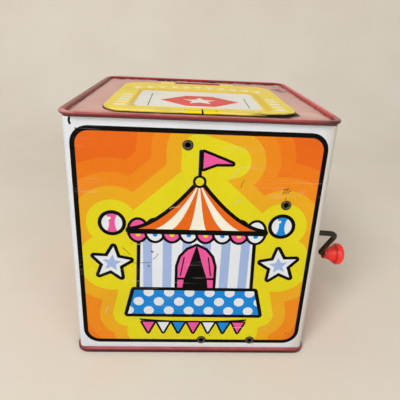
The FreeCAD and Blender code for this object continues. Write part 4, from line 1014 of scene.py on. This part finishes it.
def make_spring():
    low, high = heights("jack_spring")
    turns, radius, wire, sides = 6, 20.0, 0.9, 10
    steps = 48 * turns
    rings = []
    for k in range(steps + 1):
        t = k / steps
        rise = low + wire + (high - low - 2 * wire) * t
        rings.append([about(TURN * turns * t, radius + wire * cos(a), rise + wire * sin(a))
                      for a in (-TURN * j / sides for j in range(sides))])
    piece = tube_piece("spring_coil", [rings], FINISHES["spring_steel"])
    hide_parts("jack_spring")
    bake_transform(piece)


def make_ruff():
    low, high = heights("collar_ruff")
    folds, neck, width = 17, 9.7, 19.3
    long_side = 0.0195

    def point(v, u):
        angle = TURN * u
        drift = 0.6 * ripple(angle, 2, 1)
        lift = (high - low) * 0.46 * v ** 0.8 * sin(folds * angle + drift)
        return about(angle, neck + width * v, (low + high) / 2 + lift - 0.3 * v)

    size = (0.34, long_side)
    piece = settle(grid_piece("ruff_frill", 12, 12 * folds, point, size, FINISHES["ruff_cloth"], thick=0.3))
    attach(piece, "jack")
    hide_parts("collar_ruff")


def make_cap():
    low, high = heights("cap")
    wide = reach("cap")[1].x

    def point(v, u):
        angle = TURN * u
        crease = 0.9 * sin(3 * angle + 9 * v) * v * (1 - v) * 4
        crease += 0.5 * ripple(angle, 2, 5 * v)
        r = max(0.6, (wide - 0.5) * (1 - v) ** 0.86 + crease * (1 - v) ** 0.3 - 0.5)
        return about(angle, r, low + (high - low) * v)

    piece = settle(grid_piece("cap_felt", 30, 72, point, (0.15, 0.04), FINISHES["cap_felt"], thick=0.8))
    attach(piece, "jack")
    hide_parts("cap")


def make_brim():
    low, high = reach("cap_brim")
    middle, half = (low.z + high.z) / 2, (high.z - low.z) / 2
    outer = (high.x - low.x) / 2

    def point(v, u):
        angle, turn = TURN * u, TURN * v
        r = outer - 1.4 + 1.35 * cos(turn) + 0.12 * sin(30 * angle)
        return about(angle, r, middle + half * 0.95 * sin(turn))

    piece = settle(grid_piece("cap_roll", 13, 120, point, (0.15, 0.01), FINISHES["brim_felt"]))
    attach(piece, "jack")
    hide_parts("cap_brim")


GOLDEN_TURN = 2.399963


def strands(name, centre, radius, count, length, girth, material, curl, keep=lambda way: True):
    """A ball of short bent yarn ends that spring from its middle."""
    tubes = []
    for k in range(count):
        lift, angle = 1 - 2 * (k + 0.5) / count, k * GOLDEN_TURN
        flat = sqrt(1 - lift * lift)
        way = Vector((flat * cos(angle), flat * sin(angle), lift))
        if not keep(way):
            continue
        across = Matrix.Rotation(random.uniform(0, TURN), 3, way) @ way.orthogonal().normalized()
        other = way.cross(across)
        tubes.append([])
        for t in (0, 0.25, 0.5, 0.75, 1):
            bend = across * (curl * length * sin(pi * t))
            middle = centre + way * (radius - length + length * t) + bend
            r = girth * (1 - 0.55 * t ** 2)
            tubes[-1].append([middle + (across * cos(a) + other * sin(a)) * r
                              for a in (TURN * s / 5 for s in range(5))])
    return tube_piece(name, tubes, material)


def make_pompom():
    low, high = reach("cap_pompom")
    radius = (high.x - low.x) / 2
    centre = Vector((*(low + high).xy / 2, high.z - radius))
    piece = strands("pompom_yarn", centre, radius, 240, 3.4, 0.42, FINISHES["pompom_wool"], 0.12)
    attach(piece, "jack")
    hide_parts("cap_pompom")


def make_hair():
    for sign, word in ((-1, "right"), (1, "left")):
        centre = Vector((26 * sign, 7, 83))
        hub = (HEAD - centre).normalized()
        piece = strands("hair_curls_" + word, centre, 7.4, 260, 5.6, 0.55, FINISHES["hair_wool"], 0.34,
                        lambda way: way.dot(hub) < 0.5)
        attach(piece, "jack")
        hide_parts("hair_tufts")


ACROSS = Vector((0, 1, 0))  # the arms bend in the plane that this stands on


def make_sleeve(word, sign, shoulder, wrist):
    other = (wrist - shoulder).normalized().cross(ACROSS)

    def point(v, u):
        angle = TURN * u
        bend = Vector((sign * 1.4 * sin(pi * v), 0, 0))
        crease = cos(TURN * 5 * v + 0.8 * sin(angle)) * sin(pi * min(1, v * 1.1))
        r = 3.9 + 0.5 * v + 0.28 * crease
        r *= 1 + 0.05 * ripple(angle, 1, 4 * v + sign)
        r *= min(1, 0.35 + v * 9, 0.35 + (1 - v) * 12)
        out = ACROSS * cos(angle) + other * sin(angle)
        return shoulder + (wrist - shoulder) * v + bend + out * r

    piece = settle(grid_piece("sleeve_" + word, 36, 36, point, (0.027, 0.021), FINISHES["sleeve_cloth"]))
    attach(piece, "jack")
    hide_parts(word + "_arm")


def make_hand(word, sign, wrist, way):
    """A palm, four fingers and a thumb as ovals, run together."""
    palm = wrist + way * 2.4
    bones = [(palm, (3.2, 2.5, 3.0), way)]
    for spread, far, length in [((k - 1.5) * 0.26, 2.9, 2.0) for k in range(4)] + [(-1.0 * sign, 2.6, 1.6)]:
        tip = (Matrix.Rotation(spread, 3, ACROSS) @ way).normalized()
        bones.append((palm + tip * far, (0.86, 0.9, length), tip))
    made = bmesh.new()
    for centre, sizes, up in bones:
        turn = Matrix((up.cross(ACROSS), ACROSS, up)).transposed().to_4x4()
        place = Matrix.Translation(centre * MM) @ turn @ Matrix.Diagonal((*(Vector(sizes) * MM), 1))
        bmesh.ops.create_uvsphere(made, u_segments=16, v_segments=12, radius=1, matrix=place)
    mesh = bpy.data.meshes.new("hand_" + word)
    made.to_mesh(mesh)
    made.free()
    mesh.materials.append(FINISHES["hand_plastic"])
    hand = new_piece("hand_" + word, mesh)
    join = hand.modifiers.new("join", "REMESH")
    join.mode = "VOXEL"
    join.voxel_size = 0.28 * MM
    join.use_smooth_shade = True
    hand.modifiers.new("soft", "SMOOTH").iterations = 3
    settle(hand)
    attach(hand, "jack")
    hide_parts(word + "_hand")


def make_arms():
    for sign, word in ((1, "left"), (-1, "right")):
        shoulder, wrist = Vector((30.1 * sign, 4, 39.5)), Vector((38.4 * sign, 4, 58.5))
        make_sleeve(word, sign, shoulder, wrist)
        make_hand(word, sign, wrist, (wrist - shoulder).normalized())


def make_face():
    """A calm doll's face, printed on the round of the head."""
    r = HEAD_RADIUS + SKIN
    step = 1.5

    def place(x, z):
        up = z - HEAD.z
        way = Vector((x, -sqrt(max(1, r * r - x * x - up ** 2)), up))
        return HEAD + way, way.normalized()

    art = Art()
    for k in range(-14, 15):
        art.rules.append(((step * k, 60), (step * k, 96)))
    for k in range(25):
        art.rules.append(((-21, 60 + step * k), (21, 60 + step * k)))
    for sign in (-1, 1):
        eye = 8.2 * sign
        art.paint("blush", oval(14 * sign, 75.5, 4.4, 3.8))
        art.paint("black", oval(8.4 * sign, 86.6, 3.5, 4.3))
        art.paint("white", oval(8.4 * sign, 86.4, 3.1, 3.9))
        art.paint("iris", oval(eye, 86.2, 2.1, 2.5, count=28))
        art.paint("black", oval(eye, 86.2, 1.1, 1.4, count=20))
        art.paint("white", oval(eye + 0.7, 87.2, 0.5, count=12))
        brow = [((4.6 + 1.5 * k) * sign, 92.6 + 0.9 * sin(pi * (k + 0.6) / 6)) for k in range(6)]
        art.line("brow", brow, 0.5)
    art.paint("mouth", [(-4.6, 70.1), (-2.2, 70.6), (0, 70.0), (2.2, 70.6), (4.6, 70.1), (2.4, 67.6),
                        (0, 67.1), (-2.4, 67.6)])
    art.line("brow", [(-6.4 + 1.6 * k, 70.4 - 1.3 * sin(pi * k / 8)) for k in range(9)], 0.34)
    art.build("face_paint", place, "jack", "head_plastic")


make_garment()
make_spring()
make_ruff()
make_cap()
make_brim()
make_pompom()
make_hair()
make_arms()
make_face()


# Floor, backdrop and light, in metres.

PAPER = rgb(206, 199, 187)
FLOOR_REACH, BEND_START, BEND, WALL_TOP = 9.0, 0.35, 0.25, 2.5


def show_paper(nodes, kind, share=1.0):
    """Rays from the camera or off gloss see the plain background as far as share says."""
    rays = nodes.add("ShaderNodeLightPath").outputs
    seen = nodes.times(share, nodes.larger(rays["Is Camera Ray"], rays["Is Glossy Ray"]))
    shader, paper = nodes.shader.outputs[0], nodes.add(kind, {"Color": PAPER}).outputs[0]
    end = shader.links[0].to_socket
    nodes.put(end, nodes.add("ShaderNodeMixShader", {0: seen, 1: shader, 2: paper}).outputs[0])


def sweep_paper():
    """Pale paper that turns into the plain background far from the toy."""
    p = Paint("sweep_paper")
    tone = p.mix(p.band(p.noise(9, 3), 0.3, 0.7), rgb(228, 218, 203), rgb(233, 225, 212))
    p.set(Base_Color=tone, Roughness=0.9)
    p.bump(p.noise(600, 2), 0.05, 0.2)
    x, y, _ = p.axes()
    show_paper(p, "ShaderNodeEmission", p.band(p.larger(p.size(x), p.times(y, -1.0)), 0.7, 1.9))
    return p.owner


def make_stage():
    rows = [(-FLOOR_REACH, 0.0), (BEND_START, 0.0)]
    for angle in [0.2 * k for k in range(1, 8)] + [pi / 2]:
        rows.append((BEND_START + BEND * sin(angle), BEND - BEND * cos(angle)))
    rows.append((BEND_START + BEND, WALL_TOP))
    spots = [Vector((x, y, z)) / MM for y, z in rows for x in (-FLOOR_REACH, FLOOR_REACH)]
    faces = [(2 * k, 2 * k + 1, 2 * k + 3, 2 * k + 2) for k in range(len(rows) - 1)]
    new_piece("sweep", new_mesh("sweep", spots, faces, sweep_paper()))


def lamp(name, spot, aim, size, power, colour):
    data = bpy.data.lights.new(name, "AREA")
    data.shape = "DISK"
    data.size = size
    data.energy = power
    data.color = colour
    light = new_piece(name, data)
    light.location = spot
    light.rotation_euler = (Vector(aim) - Vector(spot)).to_track_quat("-Z", "Y").to_euler()


def make_light():
    lamp("key", (-0.6, -0.95, 1.1), (0, 0, 0.08), 0.6, 12.5, (1, 0.985, 0.96))
    lamp("fill", (0.6, -1.05, 0.6), (0, 0, 0.07), 0.8, 3.6, (0.96, 0.98, 1))
    room = Nodes(bpy.data.worlds.new("room"), "Background")
    show_paper(room, "ShaderNodeBackground")
    bpy.context.scene.world = room.set(Color=(0.92, 0.95, 1, 1), Strength=0.42)


make_stage()
make_light()
bpy.context.scene.view_settings.view_transform = "Standard"
